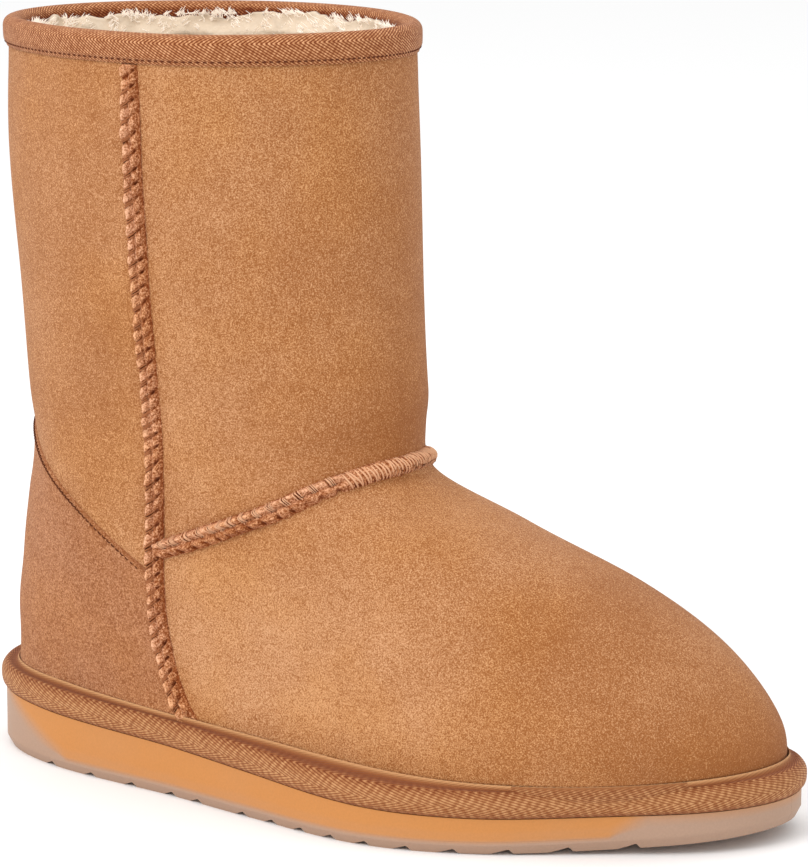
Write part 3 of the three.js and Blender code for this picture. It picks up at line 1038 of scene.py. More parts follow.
@dataclass(frozen=True)
class Moulded(Finish):
    """Foam and rubber. The attribute blend takes the colour from dark to light where the two meet."""

    def material(self) -> bpy.types.Material:
        """The sole's material.

        Returns:
            The material.
        """
        material, graph, surface, place = self.shader()
        cloud = graph.noise(place, 40.0, 3.0)
        pores = graph.noise(place, 1500.0, 2.0)
        tone = graph.math("ADD", graph.attribute("blend"), graph.swing(cloud, 0.25), clamp=True)
        base = graph.mix(tone, rgb(self.dark), rgb(self.light))
        value = graph.math("MULTIPLY_ADD", pores, 0.16, 0.92)
        grey = graph.node("ShaderNodeCombineColor", {0: value, 1: value, 2: value}).outputs[0]
        self.cover(graph, surface, graph.mix(1.0, base, grey, "MULTIPLY"), pores)
        return material


@dataclass(frozen=True)
class Strands(Finish):
    """Fine strands, thread or curls. The glow stands for the light that the strands pass among themselves."""

    glow: float = 0.0
    fineness: float = 2600.0

    def material(self) -> bpy.types.Material:
        """The strands' material.

        Returns:
            The material.
        """
        material, graph, surface, place = self.shader()
        dark, light = rgb(self.dark, 0.75), rgb(self.light)
        colour = graph.mix(graph.noise(place, self.fineness, 2.0), dark, light)
        graph.give(surface, {"Base Color": colour, "Emission Color": light, "Emission Strength": self.glow})
        return material


# Sub-assemblies


@dataclass(frozen=True)
class Crease:
    """A soft trough or ridge on the upper: where its middle is, its half length and width, and how far it stands."""

    level: float
    turn: float
    half_length: float
    half_width: float
    height: float
    lean: float = 0.0


@dataclass
class Skin:
    """The suede upper: vamp, shaft and their soft relief."""

    form: UpperForm
    routes: "Routes"
    rows: int = 200
    columns: int = 320
    inner_rows: int = 14
    swell: float = 0.35
    swell_size: float = 55
    pinch: float = 0.55
    pinch_width: float = 5.5
    creases: tuple[Crease, ...] = (
        Crease(5.45, -0.75, 0.42, 0.10, -0.35, 0.25),
        Crease(5.75, -1.05, 0.36, 0.12, -0.30, 0.20),
        Crease(5.6, 0.7, 0.42, 0.12, -0.35, -0.2),
        Crease(4.4, -0.55, 0.30, 0.16, -0.30, 0.3),
    )

    def relief(self, t: Array, turn: Array, places: Array) -> Array:
        """How far the suede stands off the plain form.

        Each crease is a bell along and across its own leaning line. The hide is drawn in beside each seam, by a bell
        of the distance to it, and rises and falls a little in broad soft waves.

        Args:
            t: Levels on the upper.
            turn: Angles around it.
            places: Places in millimetres.

        Returns:
            The distance in millimetres, outwards where it is positive.
        """
        signed = from_toe(turn)
        total = self.swell * waves(places, self.swell_size, seed=3)
        for crease in self.creases:
            along, across = signed - crease.turn, t - crease.level
            across = across - crease.lean * along
            total = total + crease.height * bell(along, 0, crease.half_length) * bell(across, 0, crease.half_width)
        near = self.routes.seam_distance(t, turn)
        total = total - self.pinch * bell(near, 0, self.pinch_width)
        free = ease(t, 0.45, 1.2) * ease(-t, -8.85, -8.4)
        return total * free

    def shade(self, t: Array, turn: Array, places: Array) -> Array:
        """How much darker the hide is painted: mostly painted shade, and painted light on the sides of the foot.

        Painted shade darkens the shaft's front, over the vamp seam, the toe, the fore part and along every seam. The
        hide is darker behind the side seams and a little darker over the whole foot. Painted light makes both sides of
        the foot lighter.

        Args:
            t: Levels on the upper.
            turn: Angles around it.
            places: Places in millimetres.

        Returns:
            The darkness, 0 for the plain colour; painted light where it is negative.
        """
        signed, x = from_toe(turn), places[..., 0]
        # Painted shade: the shaft's front, the throat, the toe, the fore part and beside the seams.
        front = bell(signed, 0.1, 0.9) * ease(t, THROAT - 0.2, THROAT + 0.8)
        throat = bell(t, 5.6, 0.6) * bell(signed, -0.2, 0.9)
        tip = ease(x, 225, 280) * ease(-places[..., 2], -60, -22)
        fore = ease(x, 170, 225) * ease(-t, -4.0, -3.0)
        rear = ease(np.abs(signed) - self.routes.side_turn(t), 0.0, 0.25) * ease(t, THROAT - 0.5, THROAT + 1)
        near = self.routes.seam_distance(t, turn)
        # Painted light on both sides of the foot.
        lit = bell(np.abs(signed), 1.75, 0.6) * ease(t, 0.6, 1.3) * ease(-t, -4.4, -3.0)
        dark = 0.25 * front + 0.2 * throat + 0.4 * tip + 0.2 * fore + 0.2 * rear
        return dark + 0.15 * bell(near, 0, 3.5) - 0.24 * lit + 0.04 * ease(-t, -4.6, -4.2)

    def build(self, shop: MeshShop) -> bpy.types.Object:
        """The suede as one hollow shell: the outer surface with its relief, and the plain inner side of its wall.

        Args:
            shop: Makes the mesh.

        Returns:
            The new object.
        """
        t = np.linspace(0, TOP, self.rows)[:, None]
        turn = even_turns(self.columns)[None]
        base = self.form.point(t, turn)
        outer = base + self.form.normal(t, turn) * self.relief(t, turn, base)[..., None]
        back = np.linspace(TOP, 0, self.inner_rows)[:, None]
        inner = self.form.off(back, turn, np.full(turn.shape, -self.form.sizes.wall))
        shade = np.vstack([self.shade(t, turn, base), np.zeros((self.inner_rows, self.columns))])
        return shop.surface("suede_upper", np.vstack([outer, inner]), Ends.JOINED, values={"shade": shade})


@dataclass(frozen=True)
class Routes:
    """Where the seams run on the upper."""

    form: UpperForm
    side_shares: tuple[float, ...] = (0.385, 0.338, 0.3135, 0.3058, 0.3052, 0.3085, 0.3095, 0.3092, 0.3088, 0.3115)
    vamp_levels: tuple[float, ...] = (5.25, 5.185, 4.905, 4.31, 3.46)
    underside: float = 0.4
    tape_edge: float = 7.8
    level_height: float = 19
    far: float = 99

    def side_turn(self, t: Array) -> Array:
        """The angle of the side seams at a level: where the outline passes the seam's place along the boot.

        Args:
            t: Levels on the upper.

        Returns:
            The angles, from 0 to half a turn.
        """
        t = np.asarray(t, float)
        x = through(list(range(TOP + 1)), list(self.side_shares), t) * self.form.sizes.sole_length
        outline, _, _ = self.form.level(t)
        return np.arccos(2 * (x - outline.heel_x) / (outline.toe_x - outline.heel_x) - 1)

    def vamp_level(self, share: Array) -> Array:
        """The level of the vamp seam, from 0 in front to 1 at either side seam."""
        return through([0, 0.25, 0.5, 0.75, 1], list(self.vamp_levels), np.abs(share))

    def side(self, hand: int, steps: int) -> tuple[Array, Array]:
        """Levels and angles along a side seam, from the sole binding to the collar tape."""
        top = float(self.form.level_at_height(np.array(self.form.sizes.boot_height - self.tape_edge)))
        t = np.linspace(self.underside, top, steps)
        return t, hand * self.side_turn(t)

    def vamp(self, steps: int, reach: float = 1.0) -> tuple[Array, Array]:
        """Levels and angles along the vamp seam, from one side seam over the instep to the other."""
        share = np.linspace(-reach, reach, steps)
        t = self.vamp_level(share)
        return t, share * self.side_turn(t)

    def seam_distance(self, t: Array, turn: Array) -> Array:
        """About how far each place is from the nearest seam, in millimetres.

        Args:
            t: Levels on the upper.
            turn: Angles around it.

        Returns:
            The distances.
        """
        aside, side = np.abs(from_toe(turn)), self.side_turn(t)
        from_side = np.abs(aside - side) * self.form.sizes.shaft_width / 2
        over = np.abs(t - self.vamp_level(np.clip(aside / side, 0, 1))) * self.level_height
        return np.minimum(from_side, np.where(aside < side, over, self.far))


@dataclass(frozen=True)
class Row:
    """A ridge, trough or shadow along a seam: its place across, from -1 to 1, its width and its height."""

    place: float
    width: float
    height: float = 1.0

    def at(self, share: Array) -> Array:
        """Its height across the seam."""
        return self.height * bell(share, self.place, self.width)


@dataclass
class Seam:
    """A raised seam: a row of beads beside a lower row with notches, split by slanted gaps full of thread.

    The beads carry a painted highlight, and the notches, gaps and edges painted shade.
    """

    name: str
    node: str
    route: tuple[Array, Array]
    form: UpperForm
    hand: int = 1
    width: float = 6.4
    rise: float = 2.4
    pitch: float = 4.9
    slant: float = 2.4
    notch: float = -0.5
    spans: tuple[float, float] = (0.98, -0.2)
    fine: float = 1.3
    neck: float = 0.75
    step: float = 0.7
    seed: int = 1
    # Painted shadow along both edges and in the gaps; the shine row is a painted highlight on the beads.
    edge_shadow: float = 0.4
    beads: Row = Row(0.55, 0.4)
    band: Row = Row(-0.4, 0.42, 0.82)
    crease: Row = Row(0.1, 0.09, 0.26)
    pits: Row = Row(-0.78, 0.16)
    crown: Row = Row(0.0, 0.85, 0.95)
    far_edge_shade: Row = Row(1.0, 0.14, 0.25)
    shine: Row = Row(0.56, 0.3, 0.4)
    gap_shade: Row = Row(0.5, 0.5, 0.75)
    stray: float = 0.6
    stray_lengths: tuple[float, ...] = (4.3, 9.7, 17.0)
    root: float = 0.8
    strands: int = 2
    strand: float = 0.27
    sunk: float = 4.5
    columns: int = 40
    dense: tuple[float, float] | None = None
    fade: tuple[float, float] = (4.0, 2.0)
    packed_spans: tuple[float, float] = (0.9, -0.95)
    packed_strand: float = 0.3
    strand_points: int = 8
    scatter: Triple = (0.16, 0.05, 0.3)

    def line(self) -> tuple[Array, Array, Array, Array]:
        """Places along the route, the directions out of the hide and across the seam, and the length so far.

        Returns:
            The four arrays, one row for each point of the route.
        """
        t, turn = self.route
        places, out = self.form.point(t, turn), self.form.normal(t, turn)
        along = unit(np.gradient(places, axis=0))
        across = unit(np.cross(out, along)) * self.hand
        return places, out, across, so_far(np.linalg.norm(np.diff(places, axis=0), axis=1))

    def wander(self, length: Array) -> Array:
        """How far a stitch strays from an even pitch, in millimetres: the sum of three sines."""
        rng = np.random.default_rng(self.seed)
        return sum(self.stray * np.sin(length / size + rng.uniform(0, 6)) for size in self.stray_lengths)

    def gap(self, length: Array, share: Array) -> Array:
        """Distance along the seam to the nearest gap between two stitches. The gaps slant across the seam."""
        turns = (length + self.wander(length) + self.slant * share) / self.pitch
        return (turns - np.round(turns)) * self.pitch

    def packed(self, length: Array, whole: float) -> Array:
        """1 where strands lie side by side over the whole seam, else 0.

        Args:
            length: Places along the seam.
            whole: The seam's length.

        Returns:
            The share, which fades over a few millimetres at both ends.
        """
        if self.dense is None:
            return np.zeros_like(length)
        low, high = (share * whole for share in self.dense)
        before, after = self.fade
        return ease(length, low - before, low + after) * ease(-length, -high - before, -high + after)

    def relief(self, length: Array, share: Array, whole: float, depth: float = 1.0) -> tuple[Array, Array]:
        """Height of the seam over the hide, and its painted shade and highlight.

        The beads are a bell on one side of the middle and the darker row a lower bell on the other. Both are drawn in
        at each gap, which ends in a notch on the darker row. A fine crease runs between the rows. Where the strands
        are packed, small pits under them along the darker edge take the place of the gaps. The sunk length at the
        foot lies flat under the sole's binding. The darkness is painted shade in the notches, gaps, pits and crease
        and along both edges, less a painted highlight on the beads.

        Args:
            length: Places along the seam.
            share: Places across it, from -1 to 1.
            whole: The seam's length.
            depth: How deep the gaps are, as a share of their full depth.

        Returns:
            The height in millimetres and the darkness, painted shade less a painted highlight.
        """
        gap, packed = self.gap(length, share), self.packed(length, whole)
        loose = 1 - packed
        strong = 1 + 0.6 * np.sin(length / 3.1 + self.seed) * np.sin(length / 7.7)
        neck = bell(gap, 0, self.neck) * loose * depth
        notch = bell(gap, 0, 0.62) * bell(share, self.notch, 0.24) * loose * depth * strong
        ripple = 0.5 - 0.5 * np.cos(2 * math.pi * (length + self.slant * share) / self.fine)
        pits = ripple**2 * self.pits.at(share) * packed
        beads = self.beads.at(share) * (1 - 0.6 * neck)
        band = self.band.at(share) * (1 - 0.3 * neck)
        crease = self.crease.at(share) * loose
        edge = ease(1 - np.abs(share), 0, 0.3)
        uneven = 1 + 0.28 * np.sin(length / 2.3 + 2.0 * share + self.seed) * np.sin(length / 5.9)
        body = (beads + band - crease) * uneven * loose + self.crown.at(share) * packed
        height = self.rise * (0.1 + body - 0.5 * notch - 0.25 * pits) * edge
        height = height * ease(length, self.sunk, self.sunk + 3.0)
        # Painted shade in the notches, pits, gaps and crease and along both edges, less a painted highlight on the
        # beads.
        dark = 0.75 * notch + 0.8 * pits + neck * self.gap_shade.at(share) + 0.12 * crease + 0.15 * ripple * packed
        dark = dark + self.edge_shadow * bell(share, -1.0, 0.2) + self.far_edge_shade.at(share)
        return height, dark - self.shine.at(share) * (1 - neck) * loose

    def build(self, shop: MeshShop) -> bpy.types.Object:
        """The ridge as one closed body along the route.

        Args:
            shop: Makes the mesh.

        Returns:
            The new object.
        """
        places, out, across, length = self.line()
        share = np.cos(np.linspace(0, math.pi, self.columns))
        lift, dark = self.relief(length[:, None], share[None], length[-1])
        neck = bell(self.gap(length[:, None], share[None]), 0, 0.9)
        wide = self.width / 2 * share[None] * (1.03 + 0.05 * np.sin(length[:, None] / 5.3 + self.seed) - 0.1 * neck)
        top = places[:, None] + across[:, None] * wide[..., None] + out[:, None] * lift[..., None]
        top = top + out[:, None] * (0.15 * waves(top, 0.8, seed=self.seed))[..., None]
        shares = share[::-1][1:-1:4]
        under = places[:, None] + across[:, None] * (self.width / 2 * shares)[None, :, None]
        under = under - out[:, None] * self.root
        grid = np.concatenate([top, under], axis=1)
        shade = np.concatenate([dark, np.zeros((len(length), len(shares)))], axis=1)
        return shop.surface(self.name, grid, Ends.CAPPED, values={"shade": shade})

    def thread(self, shop: MeshShop) -> bpy.types.Object:
        """The thread: a few strands over each gap that follow its slant, close to the surface.

        Between the two places of dense, as shares of the length, strands lie side by side over the whole seam. Each
        strand strays a little along the seam, across it and in its slant, and both its ends dip into the hide.

        Args:
            shop: Makes the mesh.

        Returns:
            The new object.
        """
        places, out, across, length = self.line()
        rng = np.random.default_rng(self.seed + 10)
        whole = length[-1]
        stitches = np.arange(self.pitch, whole - self.pitch, self.pitch)
        middles = np.arange(self.strands) - (self.strands - 1) / 2
        starts = np.concatenate([stitches - self.wander(stitches) + k * self.step for k in middles])
        starts = starts[self.packed(starts, whole) < 0.5]
        wide = np.tile([list(self.spans)], (len(starts), 1))
        if self.dense is not None:
            packed = np.arange(self.dense[0] * whole, self.dense[1] * whole, self.fine)
            starts = np.concatenate([starts, packed])
            wide = np.concatenate([wide, np.tile([list(self.packed_spans)], (len(packed), 1))])
        along, aside, lean = self.scatter
        starts = starts + rng.normal(0, along, len(starts))
        share = wide[:, :1] + (wide[:, 1:] - wide[:, :1]) * np.linspace(0, 1, self.strand_points)[None]
        share = share + rng.normal(0, aside, (len(starts), 1))
        at = starts[:, None] - share * (self.slant + rng.normal(0, lean, (len(starts), 1)))

        def read(column: Array) -> Array:
            """A column of the line read at each strand's places."""
            return np.stack([np.interp(at, length, column[:, k]) for k in range(3)], axis=-1)

        ends = np.linspace(-1, 1, self.strand_points)[None]
        lift = self.relief(at, share, whole, 0.45)[0] + 0.08 - 0.6 * ends**6
        paths = read(places) + read(across) * (self.width / 2 * share)[..., None] + read(out) * lift[..., None]
        radius = np.where(self.packed(at, whole) > 0.5, self.packed_strand, self.strand)
        return shop.tubes(self.name + "_thread", paths, radius)


@dataclass
class Counter:
    """The heel counter: a patch of rougher suede around the back, with a rolled edge and a line of fine stitches."""

    form: UpperForm
    routes: Routes
    side_level: float = 3.0
    back_level: float = 5.6
    thickness: float = 1.0
    reach: float = 60
    rim: float = 0.9
    stitch_count: int = 120
    stitch_drop: float = 0.055
    stitch_half: float = 0.8
    stitch_radius: float = 0.22
    rows: int = 60
    columns: int = 200

    def top(self, a: Array) -> Array:
        """The level of the top edge, lowest at the side seams (a = -1 and 1) and highest at the back (a = 0)."""
        return self.side_level + (self.back_level - self.side_level) * np.cos(math.pi / 2 * np.clip(a, -1, 1))

    def build(self, shop: MeshShop) -> bpy.types.Object:
        """The patch as a closed body: its face, its rolled rim and its back.

        Args:
            shop: Makes the mesh.

        Returns:
            The new object.
        """
        a = np.linspace(-0.985, 0.985, self.columns)[None]
        b = np.linspace(0, 1, self.rows)[:, None]
        low = self.routes.underside
        t = low + b * (self.top(a) - low)
        turn = math.pi + a * (math.pi - self.routes.side_turn(t))
        places = self.form.point(t, turn)
        edge = np.minimum(1 - b, 1 - np.abs(a)) * self.reach
        roll = np.sqrt(np.clip(edge / self.rim, 0, 1))
        face = self.form.sizes.clearance + self.thickness * roll + 0.12 * waves(places, 9, seed=8)
        out = self.form.normal(t, turn)
        front = places + out * face[..., None]
        back = places + out * 0.02
        ring = np.concatenate([front, back[:, ::-1]], axis=1)
        # Painted shade along the rolled rim, where it turns down to the hide.
        shade = np.concatenate([0.12 * (1 - roll), np.zeros(roll.shape)], axis=1)
        return shop.surface("suede_counter", ring, Ends.CAPPED, values={"shade": shade})

    def stitches(self, shop: MeshShop) -> bpy.types.Object:
        """Short stitches in a line just under the top edge.

        Args:
            shop: Makes the mesh.

        Returns:
            The new object.
        """
        share = np.linspace(-0.95, 0.95, self.stitch_count)
        t = self.top(share) - self.stitch_drop
        turn = math.pi + share * (math.pi - self.routes.side_turn(t))
        places, out = self.form.point(t, turn), self.form.normal(t, turn)
        along = unit(np.gradient(places, axis=0))
        lift = self.form.sizes.clearance + self.thickness
        steps = np.linspace(-1, 1, 5)
        paths = places[:, None] + along[:, None] * (self.stitch_half * steps)[None, :, None]
        paths = paths + out[:, None] * (lift + 0.1 - 0.5 * steps**4)[None, :, None]
        return shop.tubes("counter_stitches", paths, np.full(paths.shape[:2], self.stitch_radius))


@dataclass
class CollarTape:
    """The tape folded over the collar's edge, with its line of stitches."""

    form: UpperForm
    thickness: float = 1.0
    outside: float = 7.6
    inside: float = 7.0
    crown: float = 0.6
    fold: float = 1.2
    stitch_height: float = 1.3
    stitch_count: int = 190
    stitch_radius: float = 0.32
    columns: int = 420

    def across(self) -> tuple[Array, Array]:
        """The tape's section as distances off the upper and heights over its edge, from the outer leg's foot.

        The outer leg bulges as half a sine and thins to its foot, the fold is half an ellipse over the wall, and the
        inner leg hangs straight. A shallow trough marks the line of stitches.

        Returns:
            The distances and the heights, in millimetres.
        """
        near = self.form.sizes.clearance
        far, wall = near + self.thickness, self.form.sizes.wall
        leg = np.linspace(-self.outside, -self.fold, 26)
        rising = np.clip((leg + self.outside) / (self.outside - self.fold), 0, 1)
        bulge = self.crown * np.sin(math.pi / 2 * rising) ** 0.7
        trough = 0.2 * bell(leg, self.stitch_height - self.outside, 0.45)
        angle = np.linspace(0, math.pi, 15)[1:-1]
        reach = (wall + 2 * far + self.crown) / 2
        centre = far + self.crown - reach
        over = centre + reach * np.cos(angle)
        crest = (far + self.crown + self.fold) * np.sin(angle) - self.fold
        down = np.linspace(-self.fold, -self.inside, 14)
        rise = np.linspace(-self.inside, near, 5)
        back = np.linspace(near, -self.outside, 5)
        foot = near + self.thickness * (0.3 + 0.7 * ease(leg, -self.outside, 2.4 - self.outside))
        inner_leg, inner_back, outer_back = (
            np.full_like(run, off) for run, off in ((down, -wall - far), (rise, -wall - near), (back, near))
        )
        distance = np.concatenate([foot + bulge - trough, over, inner_leg, inner_back, outer_back])
        return distance, np.concatenate([leg, crest, down, rise, back])

    def places(self, distance: Array, height: Array, turn: Array) -> Array:
        """Places at a distance off the upper and a height over its edge, on the hide under it and level over it.

        Args:
            distance: Distances off the upper.
            height: Heights over the upper's edge.
            turn: Angles around it.

        Returns:
            Points in millimetres.
        """
        level = self.form.level_at_height(self.form.sizes.boot_height + np.minimum(height, 0))
        under = self.form.off(level, turn, distance)
        flat = self.form.normal(np.array(float(TOP)), turn) * np.array([1.0, 1.0, 0.0])
        over = self.form.point(np.array(float(TOP)), turn) + unit(flat) * distance[..., None]
        over = over + height[..., None] * np.array(UP)
        return np.where((height > 0)[..., None], over, under)

    def build(self, shop: MeshShop) -> bpy.types.Object:
        """The tape as one ring of its section.

        Args:
            shop: Makes the mesh.

        Returns:
            The new object.
        """
        distance, height = self.across()
        shape = (self.columns, len(distance))
        turn = even_turns(self.columns)[:, None]
        grid = self.places(np.broadcast_to(distance, shape), np.broadcast_to(height, shape), turn)
        # Painted shade on the inner leg, inside the collar.
        shade = 0.4 * ease(-distance, 0.5, 3.5) * ease(-height, -0.5, 1.5)
        shade = np.broadcast_to(shade, grid.shape[:2])
        return shop.surface("collar_tape", grid, Ends.JOINED, uv=cloth_map(grid), values={"shade": shade})

    def stitches(self, shop: MeshShop) -> bpy.types.Object:
        """The row of stitches near the tape's lower edge, each a short dash that dips at both ends.

        Args:
            shop: Makes the mesh.

        Returns:
            The new object.
        """
        count, steps = self.stitch_count, np.linspace(-1, 1, 5)
        turn = even_turns(count)[:, None] + steps[None] * math.pi / count * 0.5
        height = np.full(turn.shape, self.stitch_height - self.outside)
        far = self.form.sizes.clearance + 0.75 * self.thickness
        distance = np.broadcast_to(far + 0.05 - 0.45 * steps**4, turn.shape)
        radius = np.full(turn.shape, self.stitch_radius)
        return shop.tubes("collar_stitches", self.places(distance, height, turn), radius)


def cloth_map(grid: Array, start: float = 0.0) -> Array:
    """Texture places for a ring of sections: millimetres along the ring, and across each section from a start.

    Args:
        grid: Points by section, place in the section and axis.
        start: Where the first lies.

    Returns:
        Two numbers for each point, with one more row and column where the ring closes.
    """
    closed = np.concatenate([grid, grid[:1]])
    closed = np.concatenate([closed, closed[:, :1]], axis=1)
    along = np.linalg.norm(np.diff(closed.mean(1), axis=0), axis=1)
    across = np.linalg.norm(np.diff(closed, axis=1), axis=2).mean(0)
    return np.stack(np.meshgrid(so_far(along), so_far(across) + start, indexing="ij"), axis=-1)


@dataclass
class SoleBinding:
    """The rounded tape over the joint of sole and upper."""

    form: UpperForm
    sole: SoleForm
    routes: Routes
    bulge: float = 1.6
    height: float = 9.2
    over_hide: float = 0.25
    over_counter: float = 0.9
    start: float = -0.6
    columns: int = 480
    section_points: int = 46
    knots: tuple[float, ...] = (0, 0.03, 0.08, 0.2, 0.36, 0.55, 0.75, 0.9, 1)
    toward: tuple[float, ...] = (1, 0.93, 0.86, 0.56, 0.12, 0, 0, 0, 0)
    outs: tuple[float, ...] = (0, 0, 0, 0, 0, 0.8, 1, 0.75, 0.06)
    ups: tuple[float, ...] = (1.12, 1.16, 1.02, 0.96, 0.94, 0.7, 0.42, 0.17, 0.03)
    # Painted shade in the valley and at both ends of the section, painted light on the lip and the shoulder.
    shades: tuple[float, ...] = (0.3, -0.35, 0.3, 0.5, 0.22, -0.05, -0.1, 0, 0.2)
    bare: tuple[float, ...] = (1, 1, 1, 0.75, 0.1, 0, 0, 0, 0)

    def build(self, shop: MeshShop) -> bpy.types.Object:
        """The binding as one ring.

        Its section runs from a fine lip on the upper through a shallow valley and over a round shoulder, out past the
        sole's edge and back under, then up along the upper. The five tables give, at each knot of the section, the
        share of the way from the sole's edge to the upper, the share of the bulge, the share of the height, the
        painted shade on the tape, which is painted light where it is negative, and how far its ribs fade.

        Args:
            shop: Makes the mesh.

        Returns:
            The new object.
        """
        turn = even_turns(self.columns)
        outline, gap = self.sole.outline, self.form.sizes.clearance
        edge, out = outline.point(turn), outline.outward(turn)
        t = self.form.level_over_sole(turn, np.full(turn.shape, self.height * self.ups[0]))
        level = np.array([1.0, 1.0, 0.0])
        behind = ease(np.abs(from_toe(turn)) - self.routes.side_turn(t), 0.0, 0.05)
        clear = gap + self.over_hide + self.over_counter * behind
        lead = (self.form.off(t, turn, clear) - edge) * level
        foot = (self.form.off(np.zeros_like(turn), turn, np.full(turn.shape, gap)) - edge) * level
        steps = np.linspace(0, 1, self.section_points)
        toward, away, up, shade, bare = (
            through(self.knots, list(values), steps)
            for values in (self.toward, self.outs, self.ups, self.shades, self.bare)
        )
        outer = edge[:, None] + lead[:, None] * toward[:, None] + out[:, None] * (away * self.bulge)[:, None]
        rise = np.linspace(0, 1, 5)
        inner = edge[:, None] + foot[:, None] + (lead - foot)[:, None] * rise[:, None]
        grid = np.concatenate([outer, inner], axis=1)
        over = np.concatenate([up * self.height, gap + (self.height - gap) * rise])
        grid[..., 2] = self.sole.top(grid[..., 0]) + over
        marks = {
            key: np.broadcast_to(np.concatenate([row, np.zeros_like(rise)]), grid.shape[:2])
            for key, row in (("shade", shade), ("plain", bare))
        }
        return shop.surface("sole_binding_tape", grid, Ends.JOINED, uv=cloth_map(grid, self.start), values=marks)


@dataclass
class SoleUnit:
    """The rubber outsole with its cups and tread, and the foam wedge between them."""

    sole: SoleForm
    rear_top: float = 0.05
    rear_low: float = 0.168
    front_top: float = 0.9
    front_low: float = 0.865
    bevel: float = 1.6
    bevel_height: float = 3.0
    stations: int = 560
    foam_stations: int = 260
    tread_columns: int = 26
    top_columns: int = 6
    sharp: float = 40
    tip: float = 0.0005
    joint_blend: float = 5.0
    tread_blend: float = 1.3

    def rubber_top(self, x: Array) -> Array:
        """Height of the rubber at the edge: the full sole in the cups, the tread alone between them.

        Args:
            x: Places along the boot.

        Returns:
            Heights in millimetres.
        """
        length = self.sole.sizes.sole_length
        tread = self.sole.bottom(x) + self.sole.tread
        rear = np.clip((self.rear_low * length - x) / ((self.rear_low - self.rear_top) * length), 0, 1)
        front = np.clip((x - self.front_low * length) / ((self.front_top - self.front_low) * length), 0, 1)
        return tread + (self.sole.top(x) - tread) * np.maximum(rear, front)

    def foamy(self, places: Array) -> Array:
        """From 0 in the rubber to 1 in the foam, soft over a few millimetres at the slanted joints.

        Args:
            places: Places in millimetres.

        Returns:
            The share of foam.
        """
        x, z = places[..., 0], places[..., 2]
        over = z - self.rubber_top(x)
        above = ease(z - self.sole.bottom(x) - self.sole.tread, 0.3, 3.0)
        soft = self.tread_blend + (self.joint_blend - self.tread_blend) * above
        return ease(over / soft, -0.9, 0.9)

    def rubber(self, shop: MeshShop) -> bpy.types.Object:
        """The outsole: at each station a ring down the outer wall, across the tread and up the inner wall.

        Args:
            shop: Makes the mesh.

        Returns:
            The new object.
        """
        theta = np.linspace(self.tip, math.pi - self.tip, self.stations)[:, None]
        outline = self.sole.outline
        drop = np.concatenate([np.linspace(1, 0, 11), np.linspace(-0.15, -1, 7)])[None]

        def wall(hand: int) -> Array:
            """One side wall from its top to the tread's rim, notched where a groove meets it.

            Args:
                hand: Plus one for the inner side, minus one for the outer.

            Returns:
                Points by station and place on the wall.
            """
            turn = hand * theta
            edge = outline.point(turn)
            cut = self.sole.groove(edge[..., 0], edge[..., 1])
            low = self.bevel_height * (1 + np.minimum(drop, 0))
            low = np.where(drop <= 0, np.maximum(low, cut), low)
            inset = -self.bevel * (1 - np.clip(low / self.bevel_height, 0, 1)) * (drop <= 0)
            points = outline.grown(turn, inset)
            floor = self.sole.bottom(points[..., 0])
            top = self.rubber_top(points[..., 0])
            points[..., 2] = np.where(
                drop > 0, floor + self.bevel_height + (top - floor - self.bevel_height) * drop, floor + low
            )
            return points

        outer, inner = wall(-1), wall(1)[:, ::-1]
        under = bridge(outer, inner, self.tread_columns)
        under[..., 2] = self.sole.bottom(under[..., 0]) + self.sole.groove(under[..., 0], under[..., 1])
        over = bridge(inner, outer, self.top_columns)
        grid = np.concatenate([outer, under, inner, over], axis=1)
        return shop.surface("rubber_outsole", grid, Ends.CAPPED, values={"blend": self.foamy(grid)}, sharp=self.sharp)

    def foam(self, shop: MeshShop) -> bpy.types.Object:
        """The midsole: its section carried from the rear cup to the toe cup, both ends slanted with height.

        Args:
            shop: Makes the mesh.

        Returns:
            The new object.
        """
        length = self.sole.sizes.sole_length
        u = np.linspace(0, 1, self.foam_stations)[:, None]
        v = np.linspace(0, 1, 16)[None]
        rear = (self.rear_low + (self.rear_top - self.rear_low) * v) * length
        front = (self.front_low + (self.front_top - self.front_low) * v) * length
        x = rear + (front - rear) * u
        turn = np.arccos(2 * x / length - 1)

        def wall(hand: int) -> Array:
            """One side wall of the foam, from the tread up.

            Args:
                hand: Plus one for the inner side, minus one for the outer.

            Returns:
                Points by station and place on the wall.
            """
            points = self.sole.outline.point(hand * turn)
            low = self.sole.bottom(x) + self.sole.tread + 0.03
            points[..., 2] = low + (self.sole.top(x) - low) * v
            return points

        outer, inner = wall(-1), wall(1)[:, ::-1]
        over, under = bridge(outer, inner, self.top_columns), bridge(inner, outer, self.top_columns)
        grid = np.concatenate([outer, over, inner, under], axis=1)
        return shop.surface("foam_midsole", grid, Ends.CAPPED, values={"blend": self.foamy(grid)}, sharp=self.sharp)


